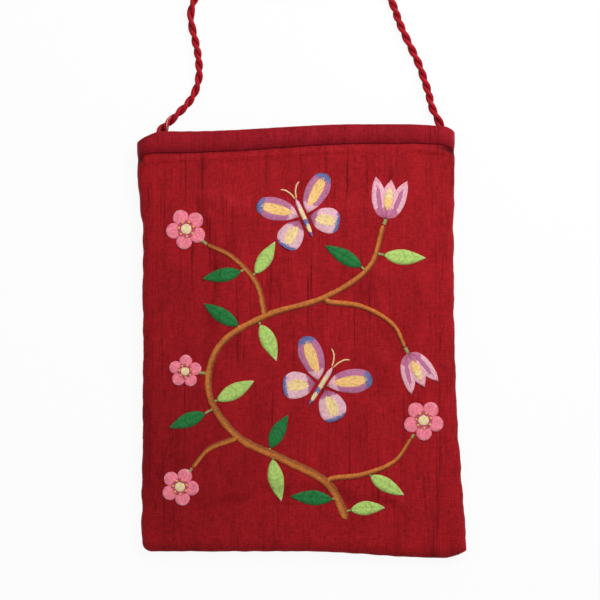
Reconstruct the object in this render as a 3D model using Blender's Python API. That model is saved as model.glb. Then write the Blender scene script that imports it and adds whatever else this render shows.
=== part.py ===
"""A flat silk bag for a passport, lying on its back with its mouth towards +Y.

X runs across the bag, Y from the base seam to the mouth and Z up from the surface that it lies on.
The origin is the middle of the bag's footprint. Run with blender --background --python part.py
"""

import math

import bmesh
import bpy
from mathutils import Vector

MM = 0.001
QUARTER = 0.5 * math.pi

# One unit of the routes and of the embroidery, as drawn
DRAWN = 1.0 * MM

# Plan of the bag
BAG_LENGTH = 202.4 * MM
WAIST_WIDTH = 144.8 * MM
MOUTH_FLARE = 3.2 * MM
BASE_FLARE = 6.6 * MM
MOUTH_SHIFT = -2.7 * MM
WAIST_SHIFT = -1.7 * MM
BASE_SHIFT = 1.0 * MM
NARROWS_FROM = 78.0 * MM
NARROWS_TO = 48.0 * MM
WIDENS_FROM = -20.0 * MM
MOUTH_RISE = 3.3 * MM
MOUTH_FALL = 1.0 * MM
BASE_RISE = 3.7 * MM
CORNER_MOUTH_LEFT = 9.0 * MM
CORNER_MOUTH_RIGHT = 3.0 * MM
CORNER_MOUTH_FULLNESS = 1.55
CORNER_BASE_LEFT = 4.5 * MM
CORNER_BASE_RIGHT = 3.0 * MM
CORNER_BASE_FULLNESS = 2.0

# Thickness of the bag, closed and empty, and its seams
SEAM_GAP = 0.3 * MM
BODY_THICKNESS = 7.6 * MM
CROWN = 0.9 * MM
EDGE_ROLL = 6.0 * MM
PANEL_WALL = 1.15 * MM
LINING_GAP = 0.25 * MM
LINING_WALL = 0.4 * MM
WEDGE_TO = 86.4 * MM

# The folded band round the mouth
BAND_HEIGHT_LEFT = 10.3 * MM
BAND_HEIGHT_RIGHT = 8.6 * MM
BAND_DROOP = 2.6 * MM
BAND_DROOP_REACH = 8.0 * MM
BAND_SWELL = 0.45 * MM
GROOVE_HALF = 2.2 * MM
GROOVE_DROP = 0.35 * MM
SILK = 0.35 * MM

# The zip set between the two lips
ZIP_DEPTH = 4.5 * MM
ZIP_END_ROOM = 14.0 * MM
TAPE_TAIL = 4.7 * MM
TAPE_THICKNESS = 0.45 * MM
TAPE_REACH = 12.0 * MM
TAPE_EDGE = 0.5 * MM
TAPE_BEND = 0.8 * MM
TEETH_PITCH = 1.4 * MM
TEETH_HEIGHT = 1.2 * MM
TEETH_INNER = 0.4 * MM
TEETH_OUTER = 2.2 * MM
TEETH_BITE = 0.35 * MM
STOP_LENGTH = 1.8 * MM
SLIDER_LENGTH = 9.0 * MM
SLIDER_WIDTH = 6.4 * MM
SLIDER_PLATE = 0.85 * MM
SLIDER_FLANGE = 0.75 * MM
SLIDER_NOSE_WIDTH = 4.6 * MM
POST_LENGTH = 2.0 * MM
POST_WIDTH = 0.36 * MM
BRIDGE_SPAN = 4.6 * MM
BRIDGE_BAR = 0.6 * MM
BRIDGE_WIDTH = 1.2 * MM
BRIDGE_ROOM = 1.45 * MM
RUNNING_GAP = 0.25 * MM
REST_GAP = 0.3 * MM
PULL_LENGTH = 18.0 * MM
PULL_WIDTH = 4.8 * MM
PULL_THICKNESS = 0.9 * MM
PULL_EYE_LENGTH = 3.8 * MM
PULL_EYE_WIDTH = 2.4 * MM
LIP_GAP = 0.35 * MM

# The twisted cord, its route over the surface and its sewn-in ends
CORD_DIAMETER = 3.5 * MM
CORD_SPACING = 2.2
CORD_LIFT = 0.05 * MM
CORD_FALLS_PAST = 3.0 * MM
CORD_FALLS_OVER = 16.0 * MM
COIL_X = -4.0 * MM
COIL_PAST_MOUTH = 88.8 * MM
COIL_INNER_TURN = 13.6 * MM
COIL_OUTER_TURN = 24.6 * MM
COIL_LAYERS = 2
TACK_LENGTH = 3.0 * MM
TACK_THREAD = 0.45 * MM
TACK_FOOT = 1.0 * MM

# Embroidery on the front
THREAD_THICKNESS = 0.6 * MM
THREAD_SHOULDER = 0.35 * MM
THREAD_LIFT = 0.2 * MM

# Fineness of the curved shapes
EDGE_STEPS = 3
FLAT_COLUMNS = 6
BODY_ROWS = 9
BAND_ROWS = 3
FOLD_STEPS = 4

# Sizes and heights that several pieces share
MOUTH_WIDTH = WAIST_WIDTH + MOUTH_FLARE
BASE_WIDTH = WAIST_WIDTH + BASE_FLARE
TAPE_LENGTH = MOUTH_WIDTH - 2 * ZIP_END_ROOM
TEETH_COUNT = round((TAPE_LENGTH - 2 * TAPE_TAIL) / TEETH_PITCH)
TEETH_LENGTH = TEETH_COUNT * TEETH_PITCH
COIL_Y = BAG_LENGTH / 2 + COIL_PAST_MOUTH
TAPE_LEG = SLIDER_WIDTH / 2 + RUNNING_GAP
LIP_INNER = TAPE_LEG + TAPE_THICKNESS + LIP_GAP
MOUTH_THICKNESS = 2 * (LIP_INNER + PANEL_WALL)
ZIP_MIDDLE = MOUTH_THICKNESS / 2
ZIP_X = MOUTH_SHIFT
ZIP_LINE = BAG_LENGTH / 2 - MOUTH_RISE - ZIP_DEPTH
TEETH_BOTTOM = -TEETH_HEIGHT / 2
TAPE_TOP = TEETH_BOTTOM - REST_GAP
TAPE_BOTTOM = TAPE_TOP - TAPE_THICKNESS
PLATE_UNDERSIDE = TEETH_HEIGHT / 2 + RUNNING_GAP
PLATE_TOP = PLATE_UNDERSIDE + SLIDER_PLATE
PULL_PIVOT = PLATE_TOP + BRIDGE_ROOM / 2
SLIDER_REST = ZIP_X + TEETH_LENGTH / 2 - SLIDER_LENGTH / 2

COLOURS = {
    "red_silk": ((0.330, 0.014, 0.022), 0.55, 0.0),
    "red_band_silk": ((0.300, 0.013, 0.024), 0.5, 0.0),
    "lining_cotton": ((0.240, 0.012, 0.018), 0.8, 0.0),
    "zip_tape": ((0.250, 0.010, 0.018), 0.75, 0.0),
    "zip_nylon": ((0.280, 0.012, 0.022), 0.4, 0.0),
    "zip_metal": ((0.620, 0.600, 0.560), 0.3, 1.0),
    "cord_silk": ((0.340, 0.010, 0.020), 0.5, 0.0),
    "tack_thread": ((0.300, 0.012, 0.020), 0.6, 0.0),
    "brown_thread": ((0.380, 0.150, 0.035), 0.5, 0.0),
    "dark_green_thread": ((0.008, 0.135, 0.040), 0.5, 0.0),
    "light_green_thread": ((0.320, 0.560, 0.110), 0.5, 0.0),
    "pink_thread": ((0.840, 0.210, 0.280), 0.5, 0.0),
    "pale_pink_thread": ((0.860, 0.480, 0.560), 0.5, 0.0),
    "cream_thread": ((0.880, 0.720, 0.400), 0.5, 0.0),
    "yellow_thread": ((0.860, 0.560, 0.150), 0.5, 0.0),
    "lavender_thread": ((0.440, 0.170, 0.330), 0.5, 0.0),
    "blue_thread": ((0.110, 0.150, 0.450), 0.5, 0.0),
}

# Routes of the cord over the surface, as chosen: X and Y as drawn, from the mouth's left or right corner
LEFT_ROUTE = (
    (9.3, -17.7), (9.5, -10.2), (12.0, -2.4), (18.4, 4.3), (23.8, 10.0), (27.1, 15.8), (28.7, 22.2),
    (28.7, 27.8), (28.0, 33.8), (26.6, 40.6), (25.1, 47.3), (25.0, 52.8), (26.8, 58.8), (30.4, 64.4),
    (35.1, 69.4), (41.5, 73.8),
)
RIGHT_ROUTE = (
    (-9.5, -17.7), (-9.3, -10.6), (-6.0, -3.4), (-8.2, 3.0), (-10.6, 8.1), (-12.0, 14.3), (-13.9, 20.3),
    (-16.5, 27.8), (-19.8, 34.8), (-23.2, 41.9), (-26.0, 48.3), (-28.2, 54.8), (-31.4, 60.8),
    (-36.6, 67.2), (-43.7, 73.4),
)

# Stems: name, points and width at each end, as drawn
STEMS = (
    ("vine", ((21, -83), (12, -66), (-8, -55), (-30, -44), (-43, -24), (-38, -2), (-16, 12),
              (10, 20), (31, 34), (38, 54)), 3.4, 1.9),
    ("upper_sprig", ((-17.5, 13.8), (-21, 27), (-32, 39), (-44, 45)), 2.3, 1.5),
    ("lower_sprig", ((14.2, -63.8), (28, -62), (43, -56), (51, -45)), 2.3, 1.5),
    ("left_sprig", ((-32, -45.5), (-43, -50), (-51, -59)), 2.3, 1.5),
    ("right_sprig", ((12.6, 18.2), (28, 16), (42, 8), (48, -3)), 2.3, 1.5),
)

# Leaves: name, thread, stalk end X and Y, heading in degrees, length and width
LEAVES = (
    ("leaf_01", "dark_green_thread", 14.0, -73.6, 176, 19.5, 6.6),
    ("leaf_02", "light_green_thread", 22.8, -78.6, 4, 16.0, 6.2),
    ("leaf_03", "dark_green_thread", -14.5, -49.6, 62, 17.5, 6.4),
    ("leaf_04", "light_green_thread", -13.5, -55.0, -78, 20.0, 6.8),
    ("leaf_05", "dark_green_thread", -45.0, -33.6, 202, 18.0, 6.4),
    ("leaf_06", "light_green_thread", -39.2, -27.5, 28, 19.5, 7.0),
    ("leaf_07", "dark_green_thread", -29.5, 7.4, 148, 19.0, 6.6),
    ("leaf_08", "light_green_thread", -19.3, 7.6, -66, 18.5, 6.8),
    ("leaf_09", "dark_green_thread", -28.4, 32.2, 190, 18.0, 6.2),
    ("leaf_10", "light_green_thread", -21.6, 31.4, 58, 17.5, 6.2),
    ("leaf_11", "dark_green_thread", 27.6, 34.6, 150, 19.5, 6.6),
    ("leaf_12", "light_green_thread", 38.2, 40.0, -4, 19.5, 6.8),
    ("leaf_13", "light_green_thread", 32.0, -62.6, -30, 18.0, 6.4),
)

# Blossoms: name, centre X and Y, outer radius, turn in degrees
BLOSSOMS = (
    ("blossom_01", -53.6, 52.0, 9.6, 8),
    ("blossom_02", -56.6, -67.8, 9.0, 30),
    ("blossom_03", 56.6, -36.8, 9.6, 20),
    ("blossom_04", -54.2, -14.0, 7.8, 50),
)

# Tulips: name, foot X and Y, heading in degrees, length
TULIPS = (
    ("tulip_01", 39.0, 56.6, 82, 19.0),
    ("tulip_02", 49.4, -5.6, -64, 18.0),
)

# Butterflies: name, middle X and Y, heading in degrees, size of a forewing
BUTTERFLIES = (
    ("butterfly_01", 1.0, 57.5, 114, 16.5),
    ("butterfly_02", 9.0, -20.5, 58, 17.5),
)

PETALS = 5
PETAL_STEPS = 6
LEAF_STEPS = 7
STEM_SPACING = 5.0
CENTRE_SIDES = 12
CURVE_STEPS = 3


def smooth(t):
    """Eased step from 0 to 1."""
    t = min(max(t, 0.0), 1.0)
    return t * t * (3.0 - 2.0 * t)


def mix(a, b, t):
    """The value a share t of the way from a to b."""
    return a + (b - a) * t


def turned(point, degrees):
    """A plan point turned about the origin."""
    c, s = math.cos(math.radians(degrees)), math.sin(math.radians(degrees))
    return c * point[0] - s * point[1], s * point[0] + c * point[1]


def spline(points, steps, closed=False):
    """Catmull-Rom curve through the points, with that many steps from one to the next."""
    count = len(points)
    spans = count if closed else count - 1
    found = []
    for k in range(spans):
        if closed:
            a, b, c, d = (Vector(points[(k + j) % count]) for j in (-1, 0, 1, 2))
        else:
            b, c = Vector(points[k]), Vector(points[k + 1])
            a = Vector(points[k - 1]) if k else 2 * b - c
            d = Vector(points[k + 2]) if k + 2 < count else 2 * c - b
        for j in range(steps):
            t = j / steps
            found.append(
                0.5 * (2 * b + (c - a) * t + (2 * a - 5 * b + 4 * c - d) * t * t
                       + (3 * b - a - 3 * c + d) * t ** 3)
            )
    if not closed:
        found.append(Vector(points[-1]))
    return found


def respaced(line, step):
    """The line again, in equal steps of about that length."""
    along = [0.0]
    for a, b in zip(line, line[1:]):
        along.append(along[-1] + (b - a).length)
    count = max(2, round(along[-1] / step))
    found, k = [], 0
    for j in range(count + 1):
        at = along[-1] * j / count
        while k < len(line) - 2 and along[k + 1] < at:
            k += 1
        share = (at - along[k]) / max(along[k + 1] - along[k], 1e-12)
        found.append(line[k].lerp(line[k + 1], min(max(share, 0.0), 1.0)))
    return found


# Outline of the bag

def width_at(y):
    """Width of the bag and sideways shift of its middle line at this height on the bag."""
    top = smooth((y - NARROWS_TO) / (NARROWS_FROM - NARROWS_TO))
    low = smooth((WIDENS_FROM - y) / (WIDENS_FROM + BAG_LENGTH / 2))
    width = WAIST_WIDTH + (MOUTH_WIDTH - WAIST_WIDTH) * top + (BASE_WIDTH - WAIST_WIDTH) * low
    shift = WAIST_SHIFT + (MOUTH_SHIFT - WAIST_SHIFT) * top + (BASE_SHIFT - WAIST_SHIFT) * low
    return width, shift


def corner(distance, radius, fullness):
    """How far a corner falls back at that distance from the side: round at a fullness of 2, flat at 1."""
    if distance >= radius:
        return 0.0
    near = 1 - distance / radius
    return radius * (1 - (1 - near ** fullness) ** (1 / fullness))


def mouth_edge(u):
    """Y of the mouth's edge, at a share u of the width from the left."""
    rise = MOUTH_RISE * (1 - smooth((u - 0.15) / 0.55))
    fall = MOUTH_FALL * smooth((u - 0.85) / 0.15)
    left = corner(u * MOUTH_WIDTH, CORNER_MOUTH_LEFT, CORNER_MOUTH_FULLNESS)
    right = corner((1 - u) * MOUTH_WIDTH, CORNER_MOUTH_RIGHT, CORNER_MOUTH_FULLNESS)
    return BAG_LENGTH / 2 - rise - fall - left - right


def groove_edge(u):
    """Y of the seam under the band round the mouth."""
    rise = MOUTH_RISE * (1 - smooth((u - 0.15) / 0.55))
    fall = MOUTH_FALL * smooth((u - 0.85) / 0.15)
    near = min(u, 1 - u) * MOUTH_WIDTH / BAND_DROOP_REACH
    droop = BAND_DROOP * max(0.0, 1 - near) ** 2
    return BAG_LENGTH / 2 - rise - fall - mix(BAND_HEIGHT_LEFT, BAND_HEIGHT_RIGHT, u) - droop


def panel_end(u):
    """Y of the panels' upper edge, in the seam under the band."""
    return groove_edge(u) - SEAM_GAP / 2


def lining_end(u):
    """Y of the linings' upper edge, just under the zip's tapes, at any share u of the width."""
    return ZIP_LINE + TAPE_TOP - TAPE_REACH - REST_GAP


def base_edge(u):
    """Y of the base seam, which dips towards the right."""
    rise = BASE_RISE * (1 - smooth((u - 0.5) / 0.42))
    left = corner(u * BASE_WIDTH, CORNER_BASE_LEFT, CORNER_BASE_FULLNESS)
    right = corner((1 - u) * BASE_WIDTH, CORNER_BASE_RIGHT, CORNER_BASE_FULLNESS)
    return -BAG_LENGTH / 2 + rise + left + right


# Skins of the bag

def wedge_at(y):
    """Thickness of the bag at its sides, which grows evenly from the base to the zip."""
    share = (y + BAG_LENGTH / 2) / (WEDGE_TO + BAG_LENGTH / 2)
    return mix(BODY_THICKNESS, MOUTH_THICKNESS, min(max(share, 0.0), 1.0))


def thickness_at(x, y):
    """Thickness of the closed bag, with the low crown of its front."""
    width, shift = width_at(y)
    side = max(0.0, 1 - (2 * (x - shift) / width) ** 2)
    length = max(0.0, 1 - (2 * y / BAG_LENGTH) ** 2)
    return wedge_at(y) + CROWN * side * length


def columns():
    """Stations across the bag: the angle round the rolled edge, and the share between the rolls."""
    roll = [QUARTER * k / EDGE_STEPS for k in range(EDGE_STEPS)]
    flat = [(QUARTER, k / FLAT_COLUMNS) for k in range(FLAT_COLUMNS + 1)]
    return [(a, 0.0) for a in roll] + flat + [(a, 1.0) for a in reversed(roll)]


def share_of(column):
    """A column's place across the bag, as a share of the width from the left."""
    angle, share = column
    inset = EDGE_ROLL * (1 - math.cos(angle)) / WAIST_WIDTH
    return mix(inset, 1 - inset, share)


def skin_point(front, column, y, depth, base_angle=QUARTER, swell=0.0):
    """A point of the bag's skin, that depth under its outer face."""
    angle, share = column
    width, shift = width_at(y)
    inset = depth + (EDGE_ROLL - depth) * (1 - math.cos(angle))
    x = shift + mix(inset - width / 2, width / 2 - inset, share)
    seam = wedge_at(y) / 2 + (SEAM_GAP / 2 if front else -SEAM_GAP / 2)
    face = thickness_at(x, y) - depth + swell if front else depth - swell
    face = face if front else max(face, 0.0)
    return Vector((x, y, seam + (face - seam) * math.sin(angle) * math.sin(base_angle)))


def face_outwards(bm):
    """Turns every face of a closed solid outwards."""
    bmesh.ops.recalc_face_normals(bm, faces=bm.faces)
    if bm.calc_volume(signed=True) < 0:
        bmesh.ops.reverse_faces(bm, faces=bm.faces)


def closed_shell(bm, outer, inner, count, rows):
    """Two grids of points, faced outside and inside, joined round their rim into one closed wall."""
    for place in (outer, inner):
        made = bmesh.ops.create_grid(bm, x_segments=count - 1, y_segments=rows - 1, size=0.5)
        for v in made["verts"]:
            v.co = place(round((v.co.x + 0.5) * (count - 1)), round((v.co.y + 0.5) * (rows - 1)))
    bmesh.ops.bridge_loops(bm, edges=[e for e in bm.edges if e.is_boundary])
    face_outwards(bm)


def body_wall(name, front, depth, wall, end, finish):
    """A panel of the bag from its base seam up to the line end(u), with its sides rolled to the side seam."""
    across = columns()
    roll = [(QUARTER * k / EDGE_STEPS, 0.0) for k in range(EDGE_STEPS)]
    rows = roll + [(QUARTER, k / BODY_ROWS) for k in range(BODY_ROWS)]
    rows += [(QUARTER, 1 - GROOVE_HALF / BAG_LENGTH), (QUARTER, 1.0)]

    def place_at(at_depth):
        def place(i, j):
            u = share_of(across[i])
            angle, share = rows[j]
            inset = at_depth + (EDGE_ROLL - at_depth) * (1 - math.cos(angle))
            y = mix(base_edge(u) + inset, end(u), share)
            drop = GROOVE_DROP if front and share == 1.0 and at_depth == 0.0 else 0.0
            return skin_point(front, across[i], y, at_depth, angle, -drop)
        return place

    bm = bmesh.new()
    closed_shell(bm, place_at(depth), place_at(depth + wall), len(across), len(rows))
    return new_object(name, bm, finish)


def folded_band(name, front, finish):
    """The strip of silk folded over one lip of the mouth: an outer leg, the fold, and an inner leg."""
    across = columns()
    fold = PANEL_WALL / 2
    legs = BAND_ROWS
    turns = [math.pi * k / FOLD_STEPS for k in range(FOLD_STEPS + 1)]
    rows = [("outer", k / legs) for k in range(legs)] + [("fold", a) for a in turns]
    rows += [("inner", 1 - k / legs) for k in range(1, legs + 1)]

    def place_at(radius):
        def place(i, j):
            u = share_of(across[i])
            low = groove_edge(u) + SEAM_GAP / 2
            high = mouth_edge(u) - fold
            kind, value = rows[j]
            if kind == "fold":
                y = high + radius * math.sin(value)
                return skin_point(front, across[i], y, fold - radius * math.cos(value))
            y = mix(low, high, value)
            if kind == "inner":
                return skin_point(front, across[i], y, fold + radius)
            swell = BAND_SWELL * math.sin(math.pi * value) if front and value else 0.0
            swell = -GROOVE_DROP if front and not value else swell
            return skin_point(front, across[i], y, fold - radius, swell=swell)
        return place

    bm = bmesh.new()
    closed_shell(bm, place_at(fold), place_at(fold - SILK), len(across), len(rows))
    return new_object(name, bm, finish)


# Objects and solids

def finish_named(name):
    """The material of that name, made once."""
    found = bpy.data.materials.get(name)
    if found:
        return found
    colour, roughness, metallic = COLOURS[name]
    found = bpy.data.materials.new(name)
    found.use_nodes = True
    shader = found.node_tree.nodes["Principled BSDF"]
    shader.inputs["Base Color"].default_value = (*colour, 1.0)
    shader.inputs["Roughness"].default_value = roughness
    shader.inputs["Metallic"].default_value = metallic
    return found


def new_object(name, bm, finish, location=(0.0, 0.0, 0.0)):
    """A named object that holds the finished bmesh."""
    mesh = bpy.data.meshes.new(name)
    bm.to_mesh(mesh)
    bm.free()
    mesh.materials.append(finish_named(finish))
    mesh.shade_smooth()
    mesh.set_sharp_from_angle(angle=math.radians(40))
    made = bpy.data.objects.new(name, mesh)
    made.location = location
    bpy.context.scene.collection.objects.link(made)
    return made


def prism(bm, outline, start, push):
    """Extrudes a closed outline of points, moved by start, along push."""
    face = bm.faces.new([bm.verts.new(Vector(p) + Vector(start)) for p in outline])
    made = bmesh.ops.extrude_face_region(bm, geom=[face])
    moved = [g for g in made["geom"] if isinstance(g, bmesh.types.BMVert)]
    bmesh.ops.translate(bm, verts=moved, vec=push)
    face_outwards(bm)


def bar(section, x_from, x_to):
    """A bmesh bar along X. Its section gives (height above the teeth's middle, distance across the bag)."""
    bm = bmesh.new()
    prism(bm, [(0.0, w, s) for w, s in section], (x_from, 0.0, 0.0), (x_to - x_from, 0.0, 0.0))
    return bm


def box_section(low, high, inner, outer):
    """The four corners of a rectangular bar section."""
    return [(low, inner), (high, inner), (high, outer), (low, outer)]


def cutter(name, bm, location):
    """A helper solid that a Boolean reads and the model leaves out."""
    made = new_object(name, bm, "zip_metal", location)
    made.hide_render = True
    made.display_type = "WIRE"
    return made


def boolean(target, other, operation):
    """Adds an exact Boolean with the other object."""
    modifier = target.modifiers.new(other.name, "BOOLEAN")
    modifier.operation = operation
    modifier.solver = "EXACT"
    modifier.object = other


# The zip

def zip_tape(name, side):
    """One tape: a flat edge under the teeth, a rounded bend, and a leg sewn down inside the lip."""
    outer = TAPE_LEG + TAPE_THICKNESS
    bend = TAPE_BEND
    steps = 3
    section = [(TAPE_BOTTOM, TAPE_EDGE), (TAPE_TOP, TAPE_EDGE)]
    for k in range(steps + 1):
        a = QUARTER * k / steps
        section.append((TAPE_TOP - bend * (1 - math.cos(a)), outer - bend * (1 - math.sin(a))))
    section.append((TAPE_TOP - TAPE_REACH, outer))
    section.append((TAPE_TOP - TAPE_REACH, TAPE_LEG))
    inner = bend - TAPE_THICKNESS
    for k in range(steps, -1, -1):
        a = QUARTER * k / steps
        section.append((TAPE_BOTTOM - inner * (1 - math.cos(a)), TAPE_LEG - inner * (1 - math.sin(a))))
    section = [(w, side * s) for w, s in section]
    bm = bar(section, -TAPE_LENGTH / 2, TAPE_LENGTH / 2)
    return new_object(name, bm, "zip_tape", (ZIP_X, ZIP_LINE, ZIP_MIDDLE))


def zip_teeth(name, side):
    """One row of teeth: a bar on the tape's edge whose inner side is notched at the pitch of the coil."""
    first = -TEETH_LENGTH / 2
    outline = [(first, TEETH_OUTER), (first, TEETH_INNER)]
    for k in range(TEETH_COUNT):
        outline.append((first + (k + 0.5) * TEETH_PITCH, TEETH_INNER + TEETH_BITE))
        outline.append((first + (k + 1.0) * TEETH_PITCH, TEETH_INNER))
    outline.append((first + TEETH_LENGTH, TEETH_OUTER))
    bm = bmesh.new()
    prism(bm, [(x, TEETH_BOTTOM, side * s) for x, s in outline], (0, 0, 0), (0, TEETH_HEIGHT, 0))
    return new_object(name, bm, "zip_nylon", (ZIP_X, ZIP_LINE, ZIP_MIDDLE))


def zip_stops():
    """Two stops past the slider at the closed end, and one across both rows at the open end."""
    past = TEETH_LENGTH / 2 + REST_GAP
    for name, side in (("zip_top_stop_front", 1), ("zip_top_stop_back", -1)):
        section = box_section(TEETH_BOTTOM, TEETH_HEIGHT / 2, side * TEETH_INNER, side * TEETH_OUTER)
        bm = bar(section, past, past + STOP_LENGTH)
        new_object(name, bm, "zip_metal", (ZIP_X, ZIP_LINE, ZIP_MIDDLE))
    section = box_section(TEETH_BOTTOM, TEETH_HEIGHT / 2, -TEETH_OUTER, TEETH_OUTER)
    bm = bar(section, -past - STOP_LENGTH, -past)
    new_object("zip_bottom_stop", bm, "zip_metal", (ZIP_X, ZIP_LINE, ZIP_MIDDLE))


def zip_slider():
    """The slider: two plates joined by a thin post, with flanges and a bridge for the pull."""
    half, nose = SLIDER_WIDTH / 2, SLIDER_NOSE_WIDTH / 2
    place = (SLIDER_REST, ZIP_LINE, ZIP_MIDDLE)
    back, ahead = -SLIDER_LENGTH / 2, SLIDER_LENGTH / 2
    skirt = TAPE_TOP + RUNNING_GAP
    inside = half - SLIDER_FLANGE
    section = [(PLATE_TOP, -half), (PLATE_TOP, half), (skirt, half), (skirt, inside),
               (PLATE_UNDERSIDE, inside), (PLATE_UNDERSIDE, -inside), (skirt, -inside), (skirt, -half)]
    slider = new_object("zip_slider", bar(section, back, ahead), "zip_metal", place)
    floor_top = TAPE_BOTTOM - RUNNING_GAP
    floor = bar(box_section(floor_top - SLIDER_PLATE, floor_top, -half, half), back, ahead)
    overlap = SLIDER_PLATE / 2
    post = bar(box_section(floor_top - overlap, PLATE_UNDERSIDE + overlap, -POST_WIDTH / 2,
                           POST_WIDTH / 2), ahead - POST_LENGTH, ahead - POST_LENGTH / 4)
    span, top = BRIDGE_SPAN / 2, PLATE_TOP + BRIDGE_ROOM
    arch = [(-span - BRIDGE_BAR, PLATE_TOP - overlap), (-span - BRIDGE_BAR, top),
            (-span, top + BRIDGE_BAR), (span, top + BRIDGE_BAR), (span + BRIDGE_BAR, top),
            (span + BRIDGE_BAR, PLATE_TOP - overlap), (span, PLATE_TOP - overlap), (span, top),
            (-span, top), (-span, PLATE_TOP - overlap)]
    bridge = bmesh.new()
    prism(bridge, [(x, w, -BRIDGE_WIDTH / 2) for x, w in arch], (0, 0, 0), (0, 0, BRIDGE_WIDTH))
    for name, bm in (("slider_post", post), ("slider_floor", floor), ("slider_bridge", bridge)):
        boolean(slider, cutter(name, bm, place), "UNION")
    reach = 2 * SLIDER_WIDTH
    shield = [(back, -nose), (back + (half - nose) * 2.0, -half), (ahead - SLIDER_PLATE, -half),
              (ahead, -half + SLIDER_PLATE), (ahead, half - SLIDER_PLATE), (ahead - SLIDER_PLATE, half),
              (back + (half - nose) * 2.0, half), (back, nose)]
    outline = bmesh.new()
    prism(outline, [(x, -reach, s) for x, s in shield], (0, 0, 0), (0, 2 * reach, 0))
    boolean(slider, cutter("slider_outline", outline, place), "INTERSECT")
    return slider


def zip_pull():
    """The pull: a flat tab whose eye holds the bridge, with its hinge axis through its end bar."""
    bar_half = PULL_THICKNESS / 2
    half = PULL_WIDTH / 2
    tip = PULL_LENGTH - bar_half
    steps = 4
    outline = [(bar_half, -half), (tip - half, -half)]
    for k in range(1, 2 * steps):
        a = -QUARTER + math.pi * k / (2 * steps)
        outline.append((tip - half + half * math.cos(a), half * math.sin(a)))
    outline += [(tip - half, half), (bar_half, half), (-bar_half, half - bar_half),
                (-bar_half, -half + bar_half)]
    place = (SLIDER_REST, ZIP_LINE + PULL_PIVOT, ZIP_MIDDLE)
    bm = bmesh.new()
    prism(bm, [(-x, -PULL_THICKNESS / 2, s) for x, s in outline], (0, 0, 0), (0, PULL_THICKNESS, 0))
    pull = new_object("zip_pull", bm, "zip_metal", place)
    eye = bmesh.new()
    near, far = -bar_half, -bar_half - PULL_EYE_LENGTH
    side = PULL_EYE_WIDTH / 2
    prism(eye, [(near, -PULL_LENGTH / 4, -side), (far, -PULL_LENGTH / 4, -side),
                (far, -PULL_LENGTH / 4, side), (near, -PULL_LENGTH / 4, side)],
          (0, 0, 0), (0, PULL_LENGTH / 2, 0))
    boolean(pull, cutter("pull_eye", eye, place), "DIFFERENCE")
    return pull


# The cord

def cord_height(y):
    """Height of the cord's middle: over the back lip inside the mouth, and on the surface past it."""
    laid = CORD_DIAMETER / 2 + CORD_LIFT
    held = PANEL_WALL + REST_GAP + CORD_DIAMETER / 2
    falls_from = BAG_LENGTH / 2 - MOUTH_RISE + CORD_FALLS_PAST
    return mix(held, laid, smooth((y - falls_from) / CORD_FALLS_OVER))


def on_surface(point, side):
    """A route's point on the surface, from the mouth's left (-1) or right (1) corner."""
    x, y = point
    return Vector((MOUTH_SHIFT + side * MOUTH_WIDTH / 2 + x * DRAWN, BAG_LENGTH / 2 + y * DRAWN, 0.0))


def cord_run(name, route, side):
    """The stretch of cord between the bag and the coil, as a tube along its route."""
    chosen = [on_surface(point, side) for point in route]
    coil = Vector((COIL_X, COIL_Y, 0.0))
    meets = COIL_OUTER_TURN + CORD_DIAMETER / 2 + REST_GAP
    chosen.append(coil + (chosen[-1] - coil).normalized() * meets)
    line = respaced(spline(chosen, 8), CORD_SPACING * CORD_DIAMETER)
    curve = bpy.data.curves.new(name, "CURVE")
    curve.dimensions = "3D"
    path = curve.splines.new("POLY")
    path.points.add(len(line) - 1)
    for point, p in zip(path.points, line):
        point.co = (p.x, p.y, cord_height(p.y), 1.0)
    curve.bevel_depth = CORD_DIAMETER / 2
    curve.bevel_resolution = 2
    curve.use_fill_caps = True
    curve.materials.append(finish_named("cord_silk"))
    made = bpy.data.objects.new(name, curve)
    bpy.context.scene.collection.objects.link(made)
    return made


def cord_coil():
    """The wound part of the cord, as one turned ring of its outer shape."""
    inner = COIL_INNER_TURN - CORD_DIAMETER / 2
    outer = COIL_OUTER_TURN + CORD_DIAMETER / 2
    height, soft = COIL_LAYERS * CORD_DIAMETER, CORD_DIAMETER / 3
    profile = [(inner + soft, 0.0), (outer - soft, 0.0), (outer, soft), (outer, height - soft),
               (outer - soft, height), (inner + soft, height), (inner, height - soft), (inner, soft)]
    bm = bmesh.new()
    ring = [bm.verts.new((r, 0.0, z)) for r, z in profile]
    edges = [bm.edges.new((a, b)) for a, b in zip(ring, ring[1:] + ring[:1])]
    bmesh.ops.spin(bm, geom=ring + edges, cent=(0, 0, 0), axis=(0, 0, 1), angle=2 * math.pi,
                   steps=24, use_merge=True)
    face_outwards(bm)
    return new_object("strap_coil", bm, "cord_silk", (COIL_X, COIL_Y, 0.0))


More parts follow.
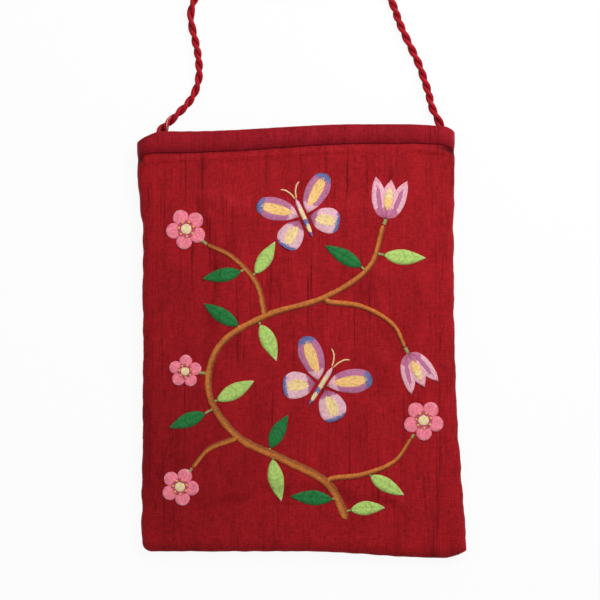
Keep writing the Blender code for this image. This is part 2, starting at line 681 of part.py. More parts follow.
def cord_tack(name, route, side):
    """The bar of thread that sews the cord's end down on the back lip."""
    middle = on_surface(route[0], side).lerp(on_surface(route[1], side), 0.5)
    inner = CORD_DIAMETER / 2 + REST_GAP
    outer = inner + TACK_THREAD
    foot = -inner
    steps = 8
    arch = [(outer * math.cos(math.pi * k / steps), outer * math.sin(math.pi * k / steps))
            for k in range(steps + 1)]
    arch += [(-outer, foot + TACK_THREAD), (-outer - TACK_FOOT, foot + TACK_THREAD),
             (-outer - TACK_FOOT, foot), (-inner, foot)]
    arch += [(inner * math.cos(math.pi * k / steps), inner * math.sin(math.pi * k / steps))
             for k in range(steps, -1, -1)]
    arch += [(inner, foot), (outer + TACK_FOOT, foot), (outer + TACK_FOOT, foot + TACK_THREAD),
             (outer, foot + TACK_THREAD)]
    bm = bmesh.new()
    prism(bm, [(across, 0.0, up) for across, up in arch], (0, 0, 0), (0, TACK_LENGTH, 0))
    held = PANEL_WALL + REST_GAP + CORD_DIAMETER / 2
    return new_object(name, bm, "tack_thread", (middle.x, middle.y - TACK_LENGTH / 2, held))


# Embroidery

def patch(name, outline, thread, layer=0):
    """A field of thread with that drawn outline, laid on the front of the bag."""
    bm = bmesh.new()
    face = bm.faces.new([bm.verts.new((x * DRAWN, y * DRAWN, 0.0)) for x, y in outline])
    if face.normal.z < 0:
        bmesh.ops.reverse_faces(bm, faces=[face])
    bm.normal_update()
    made = bmesh.ops.extrude_face_region(bm, geom=[face])
    top = [g for g in made["geom"] if isinstance(g, bmesh.types.BMFace)]
    rim = [g for g in made["geom"] if isinstance(g, bmesh.types.BMVert)]
    bmesh.ops.translate(bm, verts=rim, vec=(0.0, 0.0, THREAD_SHOULDER))
    face_outwards(bm)
    bmesh.ops.inset_region(bm, faces=top, thickness=THREAD_THICKNESS / 2,
                           depth=THREAD_THICKNESS - THREAD_SHOULDER, use_even_offset=True)
    bmesh.ops.triangulate(bm, faces=[f for f in bm.faces if len(f.verts) > 4])
    lift = THREAD_LIFT + layer * (THREAD_THICKNESS + THREAD_LIFT)
    for v in bm.verts:
        v.co.z += thickness_at(v.co.x, v.co.y) + lift
    return new_object(name, bm, thread)


def stem(name, points, wide, narrow):
    """A couched stem that tapers along its length."""
    line = respaced(spline(points, 8), STEM_SPACING)
    left, right = [], []
    for k, p in enumerate(line):
        ahead = (line[min(k + 1, len(line) - 1)] - line[max(k - 1, 0)]).normalized()
        side = Vector((-ahead.y, ahead.x)) * mix(wide, narrow, k / (len(line) - 1)) / 2
        left.append(p + side)
        right.append(p - side)
    patch(name, left + right[::-1], "brown_thread")


def leaf(name, thread, x, y, heading, length, width):
    """A pointed leaf, broadest just before its middle."""
    outline = []
    for side in (1, -1):
        for k in range(LEAF_STEPS):
            t = k / LEAF_STEPS if side == 1 else 1 - k / LEAF_STEPS
            swell = math.sin(math.pi * t ** 0.85) ** 0.9
            stalk = 0.35 * (1 - t)
            outline.append((length * t, side * (width / 2 * swell + stalk)))
    turn = [turned(p, heading) for p in outline]
    patch(name, [(x + a, y + b) for a, b in turn], thread)


def blossom(name, x, y, radius, turn):
    """A blossom of five petals in one field, with a round centre laid on it."""
    count = PETALS * PETAL_STEPS
    outline = []
    for k in range(count):
        a = 2 * math.pi * k / count
        lobe = abs(math.sin(PETALS * a / 2)) ** 0.55
        outline.append(turned((radius * (0.5 + 0.5 * lobe), 0.0), math.degrees(a) + turn))
    patch(name, [(x + a, y + b) for a, b in outline], "pink_thread")
    ring = [turned((0.3 * radius, 0.0), 360 * k / CENTRE_SIDES) for k in range(CENTRE_SIDES)]
    patch(name + "_centre", [(x + a, y + b) for a, b in ring], "cream_thread", layer=1)


def tulip(name, x, y, heading, length):
    """A tulip: a cup with three points, and a banded heart laid on it."""
    cup = ((0.0, -0.06), (0.12, -0.26), (0.42, -0.40), (0.78, -0.44), (1.0, -0.40), (0.80, -0.20),
           (0.98, 0.0), (0.80, 0.20), (1.0, 0.40), (0.78, 0.44), (0.42, 0.40), (0.12, 0.26),
           (0.0, 0.06))
    heart = ((0.20, 0.0), (0.40, -0.17), (0.62, -0.14), (0.76, 0.0), (0.62, 0.14), (0.40, 0.17))
    for part, shape, thread, layer in (("", cup, "pale_pink_thread", 0),
                                       ("_heart", heart, "yellow_thread", 1)):
        points = [turned((length * a, length * b), heading) for a, b in shape]
        patch(name + part, [(x + a, y + b) for a, b in points], thread, layer)


def butterfly(name, x, y, heading, size):
    """A butterfly from above: two pairs of wings and a slim body between them."""
    fore = ((0.06, 0.13), (0.20, 0.58), (0.46, 0.98), (0.84, 1.12), (0.96, 0.86), (0.80, 0.48),
            (0.42, 0.16))
    hind = ((-0.04, 0.15), (0.02, 0.54), (-0.20, 0.88), (-0.56, 0.86), (-0.74, 0.56), (-0.46, 0.20))
    for label, shape, thread in (("forewing", fore, "lavender_thread"), ("hindwing", hind, "blue_thread")):
        for hand, side in (("left", 1), ("right", -1)):
            points = [(size * a, side * size * b) for a, b in shape]
            points = spline(points, CURVE_STEPS, closed=True)
            turned_points = [turned(p, heading) for p in points]
            patch(f"{name}_{label}_{hand}", [(x + a, y + b) for a, b in turned_points], thread)
    body = ((-0.62, 0.0), (-0.40, -0.06), (0.0, -0.07), (0.40, -0.06), (0.58, 0.0), (0.40, 0.06),
            (0.0, 0.07), (-0.40, 0.06))
    points = [turned((size * a, size * b), heading) for a, b in body]
    patch(f"{name}_body", [(x + a, y + b) for a, b in points], "cream_thread")


def main():
    """Clears the scene and models the bag, its zip, its cord and its embroidery."""
    for old in list(bpy.data.objects):
        bpy.data.objects.remove(old)
    lining_depth = PANEL_WALL + LINING_GAP
    for word, front in (("front", True), ("back", False)):
        body_wall(f"{word}_panel", front, 0.0, PANEL_WALL, panel_end, "red_silk")
        body_wall(f"{word}_lining", front, lining_depth, LINING_WALL, lining_end, "lining_cotton")
        folded_band(f"{word}_top_band", front, "red_band_silk")
    zip_tape("zip_tape_front", 1)
    zip_tape("zip_tape_back", -1)
    zip_teeth("zip_teeth_front", 1)
    zip_teeth("zip_teeth_back", -1)
    zip_stops()
    zip_slider()
    zip_pull()
    for word, route, side in (("left", LEFT_ROUTE, -1), ("right", RIGHT_ROUTE, 1)):
        cord_run(f"strap_{word}_run", route, side)
        cord_tack(f"cord_tack_{word}", route, side)
    cord_coil()
    for name, points, wide, narrow in STEMS:
        stem(name, points, wide, narrow)
    for row in LEAVES:
        leaf(*row)
    for row in BLOSSOMS:
        blossom(*row)
    for row in TULIPS:
        tulip(*row)
    for row in BUTTERFLIES:
        butterfly(*row)


main()
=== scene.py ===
"""Dresses the frame of a flat silk bag for a passport: slubbed silk, satin stitch, twisted cord and zip.

The bag lies on its back with its mouth towards +Y. All lengths are in metres.
"""

import logging
import math
from dataclasses import dataclass, field
from enum import Enum
from functools import cache
from typing import ClassVar

import bmesh
import bpy
import numpy as np
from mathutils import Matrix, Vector, noise
from mathutils.bvhtree import BVHTree


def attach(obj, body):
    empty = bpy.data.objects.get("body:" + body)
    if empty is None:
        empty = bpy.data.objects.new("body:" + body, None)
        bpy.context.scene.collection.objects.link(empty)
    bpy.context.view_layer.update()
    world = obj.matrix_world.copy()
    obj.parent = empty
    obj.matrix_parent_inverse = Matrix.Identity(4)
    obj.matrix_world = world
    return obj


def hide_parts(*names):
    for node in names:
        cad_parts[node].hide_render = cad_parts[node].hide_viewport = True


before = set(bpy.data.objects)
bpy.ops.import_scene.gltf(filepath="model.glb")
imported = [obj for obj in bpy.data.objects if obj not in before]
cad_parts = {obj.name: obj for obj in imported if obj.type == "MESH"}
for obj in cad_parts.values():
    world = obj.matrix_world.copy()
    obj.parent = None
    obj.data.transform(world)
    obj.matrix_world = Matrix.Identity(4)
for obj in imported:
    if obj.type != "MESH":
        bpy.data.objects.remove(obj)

MM = 0.001
TINY = 1e-12
QUARTER = 0.5 * math.pi
LOG = logging.getLogger("passport_bag")
Point = tuple[float, float]
Outline = tuple[Point, ...]
Colour = tuple[float, float, float]
Line = list[Vector]
Sides = tuple[Line, Line]
Mesh = bmesh.types.BMesh
Piece = bpy.types.Object
Socket = bpy.types.NodeSocket


class Side(Enum):
    """The two walls of the bag."""

    FRONT = "front"
    BACK = "back"


class Hand(Enum):
    """Left and right, with the sign of their X."""

    LEFT = -1
    RIGHT = 1


def smooth(t: float) -> float:
    """Eased step from 0 to 1."""
    t = min(max(t, 0.0), 1.0)
    return t * t * (3.0 - 2.0 * t)


def mix(a: float, b: float, t: float) -> float:
    """The value a share t of the way from a to b."""
    return a + (b - a) * t


def wander(x: float, y: float, seed: float) -> float:
    """Smooth seeded noise from about -1 to 1 at a place."""
    return noise.noise(Vector((x, y, seed)))


def turned(point: Point, degrees: float) -> Point:
    """A plan point turned about the origin."""
    c, s = math.cos(math.radians(degrees)), math.sin(math.radians(degrees))
    return c * point[0] - s * point[1], s * point[0] + c * point[1]


def spline(points: list, steps: int) -> Line:
    """Catmull-Rom curve through points.

    Args:
        points: Points that the curve passes.
        steps: Steps from one point to the next.

    Returns:
        The curve's points.
    """
    known = [Vector(p) for p in points]
    found = []
    for k, (b, c) in enumerate(zip(known, known[1:])):
        a = known[k - 1] if k else 2 * b - c
        d = known[k + 2] if k + 2 < len(known) else 2 * c - b
        for j in range(steps):
            t = j / steps
            found.append(0.5 * (2 * b + (c - a) * t + (2 * a - 5 * b + 4 * c - d) * t * t
                                + (3 * b - a - 3 * c + d) * t ** 3))
    found.append(known[-1])
    return found


def travelled(line: Line) -> list[float]:
    """Distance along a line at each of its points.

    Args:
        line: Points along the line.

    Returns:
        The distances, from 0 to the line's length.
    """
    along = [0.0]
    for a, b in zip(line, line[1:]):
        along.append(along[-1] + (b - a).length)
    return along


def respaced(line: Line, count: int) -> Line:
    """A line again in equal steps.

    Args:
        line: Points along the line.
        count: Number of steps.

    Returns:
        count + 1 points, evenly spaced along it.
    """
    along = travelled(line)
    found, k = [], 0
    for j in range(count + 1):
        at = along[-1] * j / count
        while k < len(line) - 2 and along[k + 1] < at:
            k += 1
        share = (at - along[k]) / max(along[k + 1] - along[k], TINY)
        found.append(line[k].lerp(line[k + 1], min(max(share, 0.0), 1.0)))
    return found


def ahead(line: Line, k: int) -> Vector:
    """Direction of a line at its point number k."""
    return (line[min(k + 1, len(line) - 1)] - line[max(k - 1, 0)]).normalized()


def grid(bm: Mesh, columns: int, rows: int) -> list[tuple[bmesh.types.BMVert, int, int]]:
    """Adds a grid to a bmesh and gives its vertices, each with its column and row."""
    made = bmesh.ops.create_grid(bm, x_segments=columns, y_segments=rows, size=0.5)["verts"]
    return [(v, round((v.co.x + 0.5) * columns), round((v.co.y + 0.5) * rows)) for v in made]


def close(bm: Mesh) -> None:
    """Fills the open edges of a bmesh."""
    bmesh.ops.holes_fill(bm, edges=[e for e in bm.edges if e.is_boundary], sides=0)


# Materials


@dataclass
class Graph:
    """A node tree under construction. A value in it is a number, a tuple or the socket that feeds it."""

    tree: bpy.types.NodeTree

    def feed(self, node: bpy.types.Node, inputs: dict) -> None:
        """Sets a node's sockets.

        Args:
            node: The node.
            inputs: Socket name or index to its value.
        """
        for name, value in inputs.items():
            if isinstance(value, Socket):
                self.tree.links.new(value, node.inputs[name])
            else:
                node.inputs[name].default_value = value

    def add(self, kind: str, inputs: dict | None = None, **props: object) -> bpy.types.Node:
        """Adds a node.

        Args:
            kind: The node's type.
            inputs: Socket name or index to its value.
            props: Properties of the node.

        Returns:
            The node.
        """
        node = self.tree.nodes.new(kind)
        for name, value in props.items():
            setattr(node, name, value)
        self.feed(node, inputs or {})
        return node

    def maths(self, operation: str, a: object, b: object = 0.0) -> Socket:
        """A Math node's value."""
        return self.add("ShaderNodeMath", {0: a, 1: b}, operation=operation).outputs[0]

    def weighed(self, *parts: tuple[object, float]) -> Socket:
        """A sum of values.

        Args:
            parts: Each value with its weight.

        Returns:
            The sum.
        """
        total = self.maths("MULTIPLY", *parts[0])
        for part in parts[1:]:
            total = self.maths("ADD", total, self.maths("MULTIPLY", *part))
        return total

    def ranged(self, value: object, low: float, high: float, to_low: float = 0.0,
               to_high: float = 1.0) -> Socket:
        """A value moved from one range to another, clamped."""
        inputs = {"Value": value, 1: low, 2: high, 3: to_low, 4: to_high}
        return self.add("ShaderNodeMapRange", inputs).outputs[0]

    def blend(self, factor: object, a: object, b: object, how: str = "MIX") -> Socket:
        """A colour mixed from two.

        Args:
            factor: Share of the second colour.
            a: First colour.
            b: Second colour.
            how: Way of mixing.

        Returns:
            The mixed colour.
        """
        node = self.add("ShaderNodeMix", {0: factor}, data_type="RGBA", blend_type=how)
        for index, colour in ((6, a), (7, b)):
            self.feed(node, {index: (*colour, 1.0) if isinstance(colour, tuple) else colour})
        return node.outputs[2]

    def noise(self, vector: object, scale: float, detail: float = 2.0,
              rough: float = 0.6) -> Socket:
        """A noise texture's value."""
        inputs = {"Vector": vector, "Scale": scale, "Detail": detail, "Roughness": rough}
        return self.add("ShaderNodeTexNoise", inputs).outputs[0]

    def stretched(self, vector: object, scale: tuple[float, float, float],
                  turn: float = 0.0) -> Socket:
        """A vector scaled by axis and turned about Z."""
        inputs = {"Vector": vector, "Scale": scale, "Rotation": (0.0, 0.0, turn)}
        return self.add("ShaderNodeMapping", inputs).outputs[0]

    def streaks(self, vector: object, scale: tuple[float, float, float], detail: float = 3.0,
                rough: float = 0.6) -> Socket:
        """Noise with its own scale on each axis."""
        return self.noise(self.stretched(vector, scale), 1.0, detail, rough)

    def vector(self, x: object, y: object, z: object) -> Socket:
        """A vector from three values."""
        return self.add("ShaderNodeCombineXYZ", {0: x, 1: y, 2: z}).outputs[0]

    def place(self) -> Socket:
        """The place on the object, in its own coordinates."""
        return self.add("ShaderNodeTexCoord").outputs["Object"]

    def marks(self, *names: str) -> list[Socket]:
        """Values of the mesh's own attributes."""
        return [self.add("ShaderNodeAttribute", attribute_name=name).outputs["Fac"] for name in names]

    def bump(self, height: object, strength: float, distance: float) -> Socket:
        """A normal from a height."""
        inputs = {"Height": height, "Strength": strength, "Distance": distance}
        return self.add("ShaderNodeBump", inputs).outputs[0]


def shader_group(name: str, inputs: dict[str, str], outputs: tuple[str, ...]) -> tuple[Graph, list]:
    """A new shader node group that gives plain values.

    Args:
        name: The group's name.
        inputs: Socket name to its type.
        outputs: Names of the values that it gives.

    Returns:
        The group's graph and its input sockets inside.
    """
    tree = bpy.data.node_groups.new(name, "ShaderNodeTree")
    for label, kind in inputs.items():
        tree.interface.new_socket(label, in_out="INPUT", socket_type=kind)
    for label in outputs:
        tree.interface.new_socket(label, in_out="OUTPUT", socket_type="NodeSocketFloat")
    graph = Graph(tree)
    return graph, list(graph.add("NodeGroupInput").outputs)


@cache
def weave_group() -> bpy.types.NodeTree:
    """Slubbed plain weave: a shade from thin uneven threads, the slubs' mask and the cloth's height.

    Returns:
        The group, made once. Fineness scales the weave.
    """
    inputs = {"Vector": "NodeSocketVector", "Fineness": "NodeSocketFloat"}
    graph, given = shader_group("slubbed_weave", inputs, ("Shade", "Slub", "Height"))
    place = graph.add("ShaderNodeVectorMath", {0: given[0], 3: given[1]}, operation="SCALE").outputs[0]
    warp = graph.streaks(place, (1500.0, 300.0, 300.0))
    weft = graph.streaks(place, (300.0, 1500.0, 300.0), 2.0)
    grain = graph.noise(place, 1300.0)
    cloudy = graph.streaks(place, (150.0, 52.0, 60.0))
    short = graph.ranged(graph.streaks(place, (640.0, 100.0, 90.0), 3.0, 0.62), 0.58, 0.74, 0.0, 0.6)
    long = graph.ranged(graph.streaks(place, (760.0, 21.0, 70.0)), 0.57, 0.72, 0.0, 0.95)
    crowd = graph.ranged(graph.streaks(place, (90.0, 40.0, 50.0), 2.0, 0.5), 0.34, 0.60, 0.35, 1.0)
    slubs = graph.maths("MULTIPLY", graph.maths("MAXIMUM", short, long), crowd)
    shade = graph.weighed((warp, 0.27), (weft, 0.25), (grain, 0.2), (cloudy, 0.26))
    height = graph.weighed((warp, 0.6), (weft, 0.5), (slubs, 0.6), (grain, 0.35))
    graph.add("NodeGroupOutput", {0: shade, 1: slubs, 2: height})
    return graph.tree


@cache
def stitch_group() -> bpy.types.NodeTree:
    """Threads laid side by side: a shade, each thread's own tone and a height.

    Returns:
        The group, made once. Row counts the threads and Reach is the distance along them.
    """
    inputs = {"Row": "NodeSocketFloat", "Reach": "NodeSocketFloat"}
    graph, (row, reach, *_) = shader_group("laid_thread", inputs, ("Shade", "Tone", "Height"))
    ridge = graph.maths("SINE", graph.maths("MULTIPLY", graph.maths("FRACT", row), math.pi))
    own_place = graph.vector(graph.maths("FLOOR", row), graph.maths("MULTIPLY", reach, 55.0), 0.5)
    own = graph.noise(own_place, 1.7, 1.0, 0.5)
    fibre_place = graph.vector(graph.maths("MULTIPLY", row, 4.5), graph.maths("MULTIPLY", reach, 300.0), 0.0)
    fibre = graph.noise(fibre_place, 1.0)
    # A mottle of lighter and darker patches along the threads: partly their own uneven tone, partly painted
    # glints of the satin.
    mottle_place = graph.vector(graph.maths("MULTIPLY", row, 0.62), graph.maths("MULTIPLY", reach, 700.0), 6.0)
    mottle = graph.noise(mottle_place, 1.0)
    # The ridge's share paints a little shade between neighbouring threads and light on their crowns.
    shade = graph.weighed((own, 0.26), (fibre, 0.20), (mottle, 0.42), (ridge, 0.14))
    height = graph.weighed((ridge, 0.6), (fibre, 0.5))
    graph.add("NodeGroupOutput", {0: shade, 1: own, 2: height})
    return graph.tree


@dataclass(frozen=True)
class Finish:
    """A finish whose material is painted once and shared."""

    made: ClassVar[dict[str, bpy.types.Material]] = {}

    name: str

    def material(self) -> bpy.types.Material:
        """The material, painted when it is first asked for.

        Returns:
            The material.
        """
        if self.name not in self.made:
            material = bpy.data.materials.new(self.name)
            material.use_nodes = True
            self.paint(Graph(material.node_tree), material.node_tree.nodes["Principled BSDF"])
            self.made[self.name] = material
        return self.made[self.name]

    def paint(self, graph: Graph, shader: bpy.types.Node) -> None:
        """Adds the material's nodes to those of a plain shader."""
        raise NotImplementedError


@dataclass(frozen=True)
class Silk(Finish):
    """Slubbed silk, woven with uneven threads that run up the bag."""

    base: Colour
    dark: Colour
    bright: Colour
    fineness: float = 1.0
    turn: float = 0.0
    bump: float = 0.4
    sheen: float = 0.3

    def paint(self, graph: Graph, shader: bpy.types.Node) -> None:
        """Adds the woven shade, the dark slubs and the painted shade in the seam under the band and at the
        lower left.

        Args:
            graph: The material's graph.
            shader: Its Principled shader.
        """
        place = graph.stretched(graph.place(), (1.0, 1.0, 1.0), self.turn)
        inputs = {"Vector": place, "Fineness": self.fineness}
        weave = graph.add("ShaderNodeGroup", inputs, node_tree=weave_group()).outputs
        colour = graph.blend(graph.ranged(weave["Shade"], 0.38, 0.62), self.base, self.bright)
        colour = graph.blend(graph.maths("MULTIPLY", weave["Slub"], 0.8), colour, self.dark)
        # Painted shade: the silk darkens where its mesh's shade layer marks it, in the seam under the band,
        # at its tucked ends and at its lower left.
        colour = graph.blend(graph.marks("painted_shade")[0], colour, tuple(0.7 * c for c in self.dark))
        graph.feed(shader, {
            "Base Color": colour,
            "Roughness": graph.ranged(weave["Shade"], 0.3, 0.7, 0.64, 0.46),
            "Normal": graph.bump(weave["Height"], self.bump, 0.4 * MM),
            "Specular IOR Level": 0.09,
            "Specular Tint": (1.0, 0.35, 0.5, 1.0),
            "Sheen Weight": self.sheen,
            "Sheen Roughness": 0.3,
            "Sheen Tint": (1.0, 0.08, 0.22, 1.0),
        })


@dataclass(frozen=True)
class Tongue:
    """A tongue of another colour up the middle of a field, from one share of its length to another."""

    start: float
    end: float
    half_width: float
    colour: Colour

    def over(self, graph: Graph, colour: object, at: object, side: object) -> Socket:
        """Lays the tongue over a field's colour.

        Args:
            graph: The material's graph.
            colour: The field's colour.
            at: Ragged share of the field's length.
            side: Place across the field, from -1 to 1.

        Returns:
            The colour with the tongue on it.
        """
        middle, half = (self.start + self.end) / 2, (self.end - self.start) / 2
        along = graph.maths("MULTIPLY", graph.maths("SUBTRACT", at, middle), 1 / half)
        across = graph.maths("MULTIPLY", side, 1 / self.half_width)
        blunt = graph.maths("ADD", graph.maths("POWER", graph.maths("ABSOLUTE", along), 3.0),
                            graph.maths("POWER", graph.maths("ABSOLUTE", across), 2.0))
        return graph.blend(graph.maths("LESS_THAN", blunt, 1.0), colour, self.colour)


@dataclass(frozen=True)
class Thread(Finish):
    """Embroidery thread in one colour, or in bands and a tongue of other colours along its field."""

    # Colour of the thin painted shade round each field's rim, where the thread meets the silk.
    RIM_SHADE: ClassVar[Colour] = (0.045, 0.012, 0.008)
    RAGGED: ClassVar[float] = 0.055

    bands: tuple[tuple[float, Colour], ...]
    stalk: Colour = (0.330, 0.330, 0.110)
    shadow: Colour | None = None
    tongue: Tongue | None = None
    contrast: float = 1.0
    slot: str = ""

    def banded(self, graph: Graph, at: object) -> Socket:
        """The colour of the thread's bands.

        Args:
            graph: The material's graph.
            at: Ragged share of the field's length.

        Returns:
            The colour.
        """
        node = graph.add("ShaderNodeValToRGB", {"Fac": at})
        ramp = node.color_ramp
        ramp.interpolation = "CONSTANT"
        ramp.elements.remove(ramp.elements[1])
        for k, (start, band) in enumerate(self.bands):
            element = ramp.elements.new(start) if k else ramp.elements[0]
            element.position = start
            element.color = (*band, 1.0)
        return node.outputs["Color"]

    def paint(self, graph: Graph, shader: bpy.types.Node) -> None:
        """Adds the bands, tongue and shadow, the mottled tone of the laid threads with its painted light and
        shade, and a thin painted shade round each field's rim.

        Args:
            graph: The material's graph.
            shader: Its Principled shader.
        """
        row, reach, share, side, rim, stalk = graph.marks(*SatinWork.LAYERS)
        stitch = graph.add("ShaderNodeGroup", {0: row, 1: reach}, node_tree=stitch_group()).outputs
        ragged = graph.ranged(stitch["Tone"], 0.25, 0.75, -self.RAGGED, self.RAGGED)
        at = graph.maths("ADD", share, ragged)
        colour = self.banded(graph, at)
        if self.tongue:
            colour = self.tongue.over(graph, colour, at, side)
        if self.shadow:
            low = graph.maths("ADD", side, graph.maths("MULTIPLY", ragged, 4.0))
            colour = graph.blend(graph.ranged(low, 0.05, 0.55, 0.0, 0.9), colour, self.shadow)
        colour = graph.blend(stalk, colour, self.stalk)
        level = graph.ranged(stitch["Shade"], 0.36, 0.66, 1 - 0.42 * self.contrast, 1 + 0.30 * self.contrast)
        tint = graph.add("ShaderNodeCombineColor", {0: level, 1: level, 2: level}).outputs[0]
        colour = graph.blend(1.0, colour, tint, "MULTIPLY")
        graph.feed(shader, {
            # Painted shade round each field's rim.
            "Base Color": graph.blend(graph.maths("MULTIPLY", rim, 0.2), colour, self.RIM_SHADE),
            "Roughness": graph.ranged(stitch["Shade"], 0.3, 0.7, 0.6, 0.42),
            "Normal": graph.bump(stitch["Height"], 0.35, 0.3 * MM),
            "Specular IOR Level": 0.22,
            "Sheen Weight": 0.1,
            "Sheen Roughness": 0.4,
        })


@dataclass(frozen=True)
class CordFibre(Finish):
    """Fine silk yarns that run round each ply of a twisted cord."""

    LOOSE_PLY: ClassVar[float] = 1.5

    deep: Colour
    light: Colour
    pale: Colour

    def paint(self, graph: Graph, shader: bpy.types.Node) -> None:
        """Adds the yarns' shade, the loose yarn's pale colour and the painted shade between the plies.

        Args:
            graph: The material's graph.
            shader: Its Principled shader.
        """
        along, over, beside, ply, deep = graph.marks(*Tube.LAYERS)
        round_ply = graph.maths("MULTIPLY", graph.maths("ARCTAN2", beside, over), 6.0)
        yarn = graph.maths("SINE", graph.maths("SUBTRACT", round_ply, graph.maths("MULTIPLY", along, 3300.0)))
        place = graph.vector(graph.maths("MULTIPLY", over, 2.5), graph.maths("MULTIPLY", beside, 2.5),
                             graph.maths("MULTIPLY", along, 420.0))
        speck = graph.noise(place, 1.0, 3.0)
        shade = graph.weighed((graph.ranged(yarn, -1.0, 1.0), 0.25), (speck, 0.95))
        colour = graph.blend(graph.ranged(shade, 0.35, 0.85), self.deep, self.light)
        colour = graph.blend(graph.maths("GREATER_THAN", ply, self.LOOSE_PLY), colour, self.pale)
        # Painted shade: strands darken where they lie near the cord's middle, between the plies.
        colour = graph.blend(graph.maths("MULTIPLY", deep, 0.92), colour, tuple(0.12 * c for c in self.deep))
        graph.feed(shader, {
            "Base Color": colour,
            "Roughness": 0.42,
            "Normal": graph.bump(shade, 0.35, 0.3 * MM),
            "Specular IOR Level": 0.08,
            "Sheen Weight": 0.32,
            "Sheen Roughness": 0.3,
            "Sheen Tint": (1.0, 0.10, 0.25, 1.0),
        })


@dataclass(frozen=True)
class Brushed(Finish):
    """Satin metal or smooth nylon, finely scratched."""

    base: Colour
    roughness: float
    metallic: float
    scratches: float = 0.1

    def paint(self, graph: Graph, shader: bpy.types.Node) -> None:
        """Adds the scratches and a cloudy tone.

        Args:
            graph: The material's graph.
            shader: Its Principled shader.
        """
        place = graph.place()
        scratch = graph.streaks(place, (400.0, 6000.0, 6000.0))
        cloudy = graph.ranged(graph.noise(place, 300.0, 2.0, 0.5), 0.3, 0.7)
        low, high = self.roughness - self.scratches, self.roughness + self.scratches
        graph.feed(shader, {
            "Base Color": graph.blend(cloudy, tuple(0.82 * c for c in self.base), self.base),
            "Roughness": graph.ranged(scratch, 0.3, 0.7, low, high),
            "Metallic": self.metallic,
            "Normal": graph.bump(scratch, 0.1, 0.1 * MM),
        })


@dataclass(frozen=True)
class Paper(Finish):
    """Pale paper that shows near white where rays see the floor itself, and still takes a shadow."""

    glow: float = 0.92

    def paint(self, graph: Graph, shader: bpy.types.Node) -> None:
        """Adds the glow that those rays see.

        Args:
            graph: The material's graph.
            shader: Its Principled shader.
        """
        graph.feed(shader, {"Base Color": (0.9, 0.9, 0.9, 1.0), "Roughness": 0.9, "Specular IOR Level": 0.0})
        glow = graph.add("ShaderNodeEmission", {"Color": (1.0, 1.0, 1.0, 1.0), "Strength": 1.0}).outputs[0]
        share = graph.maths("MULTIPLY", Studio.seen(graph), self.glow)
        mixed = graph.add("ShaderNodeMixShader", {0: share, 1: shader.outputs[0], 2: glow}).outputs[0]
        graph.feed(graph.tree.nodes["Material Output"], {"Surface": mixed})


RED_SILK = Silk("bag_silk", (0.225, 0.0070, 0.0090), (0.070, 0.0025, 0.0038), (0.470, 0.0145, 0.0205))
BAND_SILK = Silk("band_silk", (0.205, 0.0063, 0.0105), (0.065, 0.0025, 0.0042), (0.400, 0.0130, 0.0235),
                 1.09, sheen=0.62)
LINING = Silk("lining_weave", (0.180, 0.0080, 0.0120), (0.110, 0.0050, 0.0080), (0.240, 0.0110, 0.0170), 1.4)
TAPE = Silk("tape_weave", (0.200, 0.0070, 0.0130), (0.130, 0.0045, 0.0090), (0.260, 0.0100, 0.0170), 1.8,
            QUARTER)
TEETH = Brushed("coil_nylon", (0.240, 0.0090, 0.0160), 0.35, 0.0)
METAL = Brushed("satin_metal", (0.640, 0.610, 0.560), 0.3, 1.0)
CORD = CordFibre("cord_fibre", (0.180, 0.0034, 0.0062), (0.580, 0.0095, 0.0205), (0.760, 0.300, 0.250))

MAUVE = (0.540, 0.180, 0.340)
DEEP_BLUE = (0.175, 0.190, 0.420)
GOLD = (0.940, 0.600, 0.220)
BROWN = Thread("brown_thread", ((0.0, (0.560, 0.165, 0.026)),), shadow=(0.240, 0.055, 0.010), contrast=1.3)
DARK_GREEN = Thread("dark_green_thread", ((0.0, (0.006, 0.160, 0.032)),), contrast=1.5)
LIGHT_GREEN = Thread("light_green_thread", ((0.0, (0.440, 0.640, 0.155)), (0.9, (0.600, 0.700, 0.280))),
                     contrast=1.1)
PINK = Thread("pink_thread", ((0.0, (0.600, 0.100, 0.180)), (0.32, (0.910, 0.245, 0.325)),
                              (0.86, (0.920, 0.370, 0.430))))
PALE_PINK = Thread("pale_pink_thread", ((0.0, (0.660, 0.200, 0.310)), (0.3, (0.920, 0.500, 0.580))),
                   tongue=Tongue(0.02, 0.78, 0.34, MAUVE))
CREAM = Thread("cream_thread", ((0.0, (0.880, 0.700, 0.400)),), stalk=(0.860, 0.400, 0.120))
YELLOW = Thread("yellow_thread", ((0.0, GOLD), (0.55, (0.930, 0.700, 0.330))))
LAVENDER = Thread("lavender_thread", ((0.0, (0.870, 0.520, 0.600)), (0.24, MAUVE), (0.78, DEEP_BLUE)),
                  tongue=Tongue(0.2, 0.8, 0.46, GOLD))
BLUE = Thread("blue_thread", ((0.0, MAUVE), (0.26, (0.870, 0.520, 0.600)), (0.74, DEEP_BLUE)),
              tongue=Tongue(0.24, 0.72, 0.42, (0.930, 0.700, 0.330)))
BODY = Thread("body_thread", ((0.0, DEEP_BLUE), (0.16, (0.880, 0.700, 0.400)), (0.34, DEEP_BLUE),
                              (0.46, (0.880, 0.700, 0.400)), (0.74, (0.870, 0.520, 0.600))),
              stalk=(0.900, 0.640, 0.320), slot="cream_thread")


# Shape of the bag


@dataclass(frozen=True)
class Corner:
    """A corner of the outline, where the edge falls back towards the side."""

    reach: float
    drop: float
    fullness: float

    def fall(self, distance: float) -> float:
        """How far the edge falls back: straight at fullness 1, round at 2.

        Args:
            distance: Distance from the side.

        Returns:
            The fall, which is the whole drop at the side itself.
        """
        if distance >= self.reach:
            return 0.0
        near = 1 - distance / self.reach
        return self.drop * (1 - (1 - near ** self.fullness) ** (1 / self.fullness))


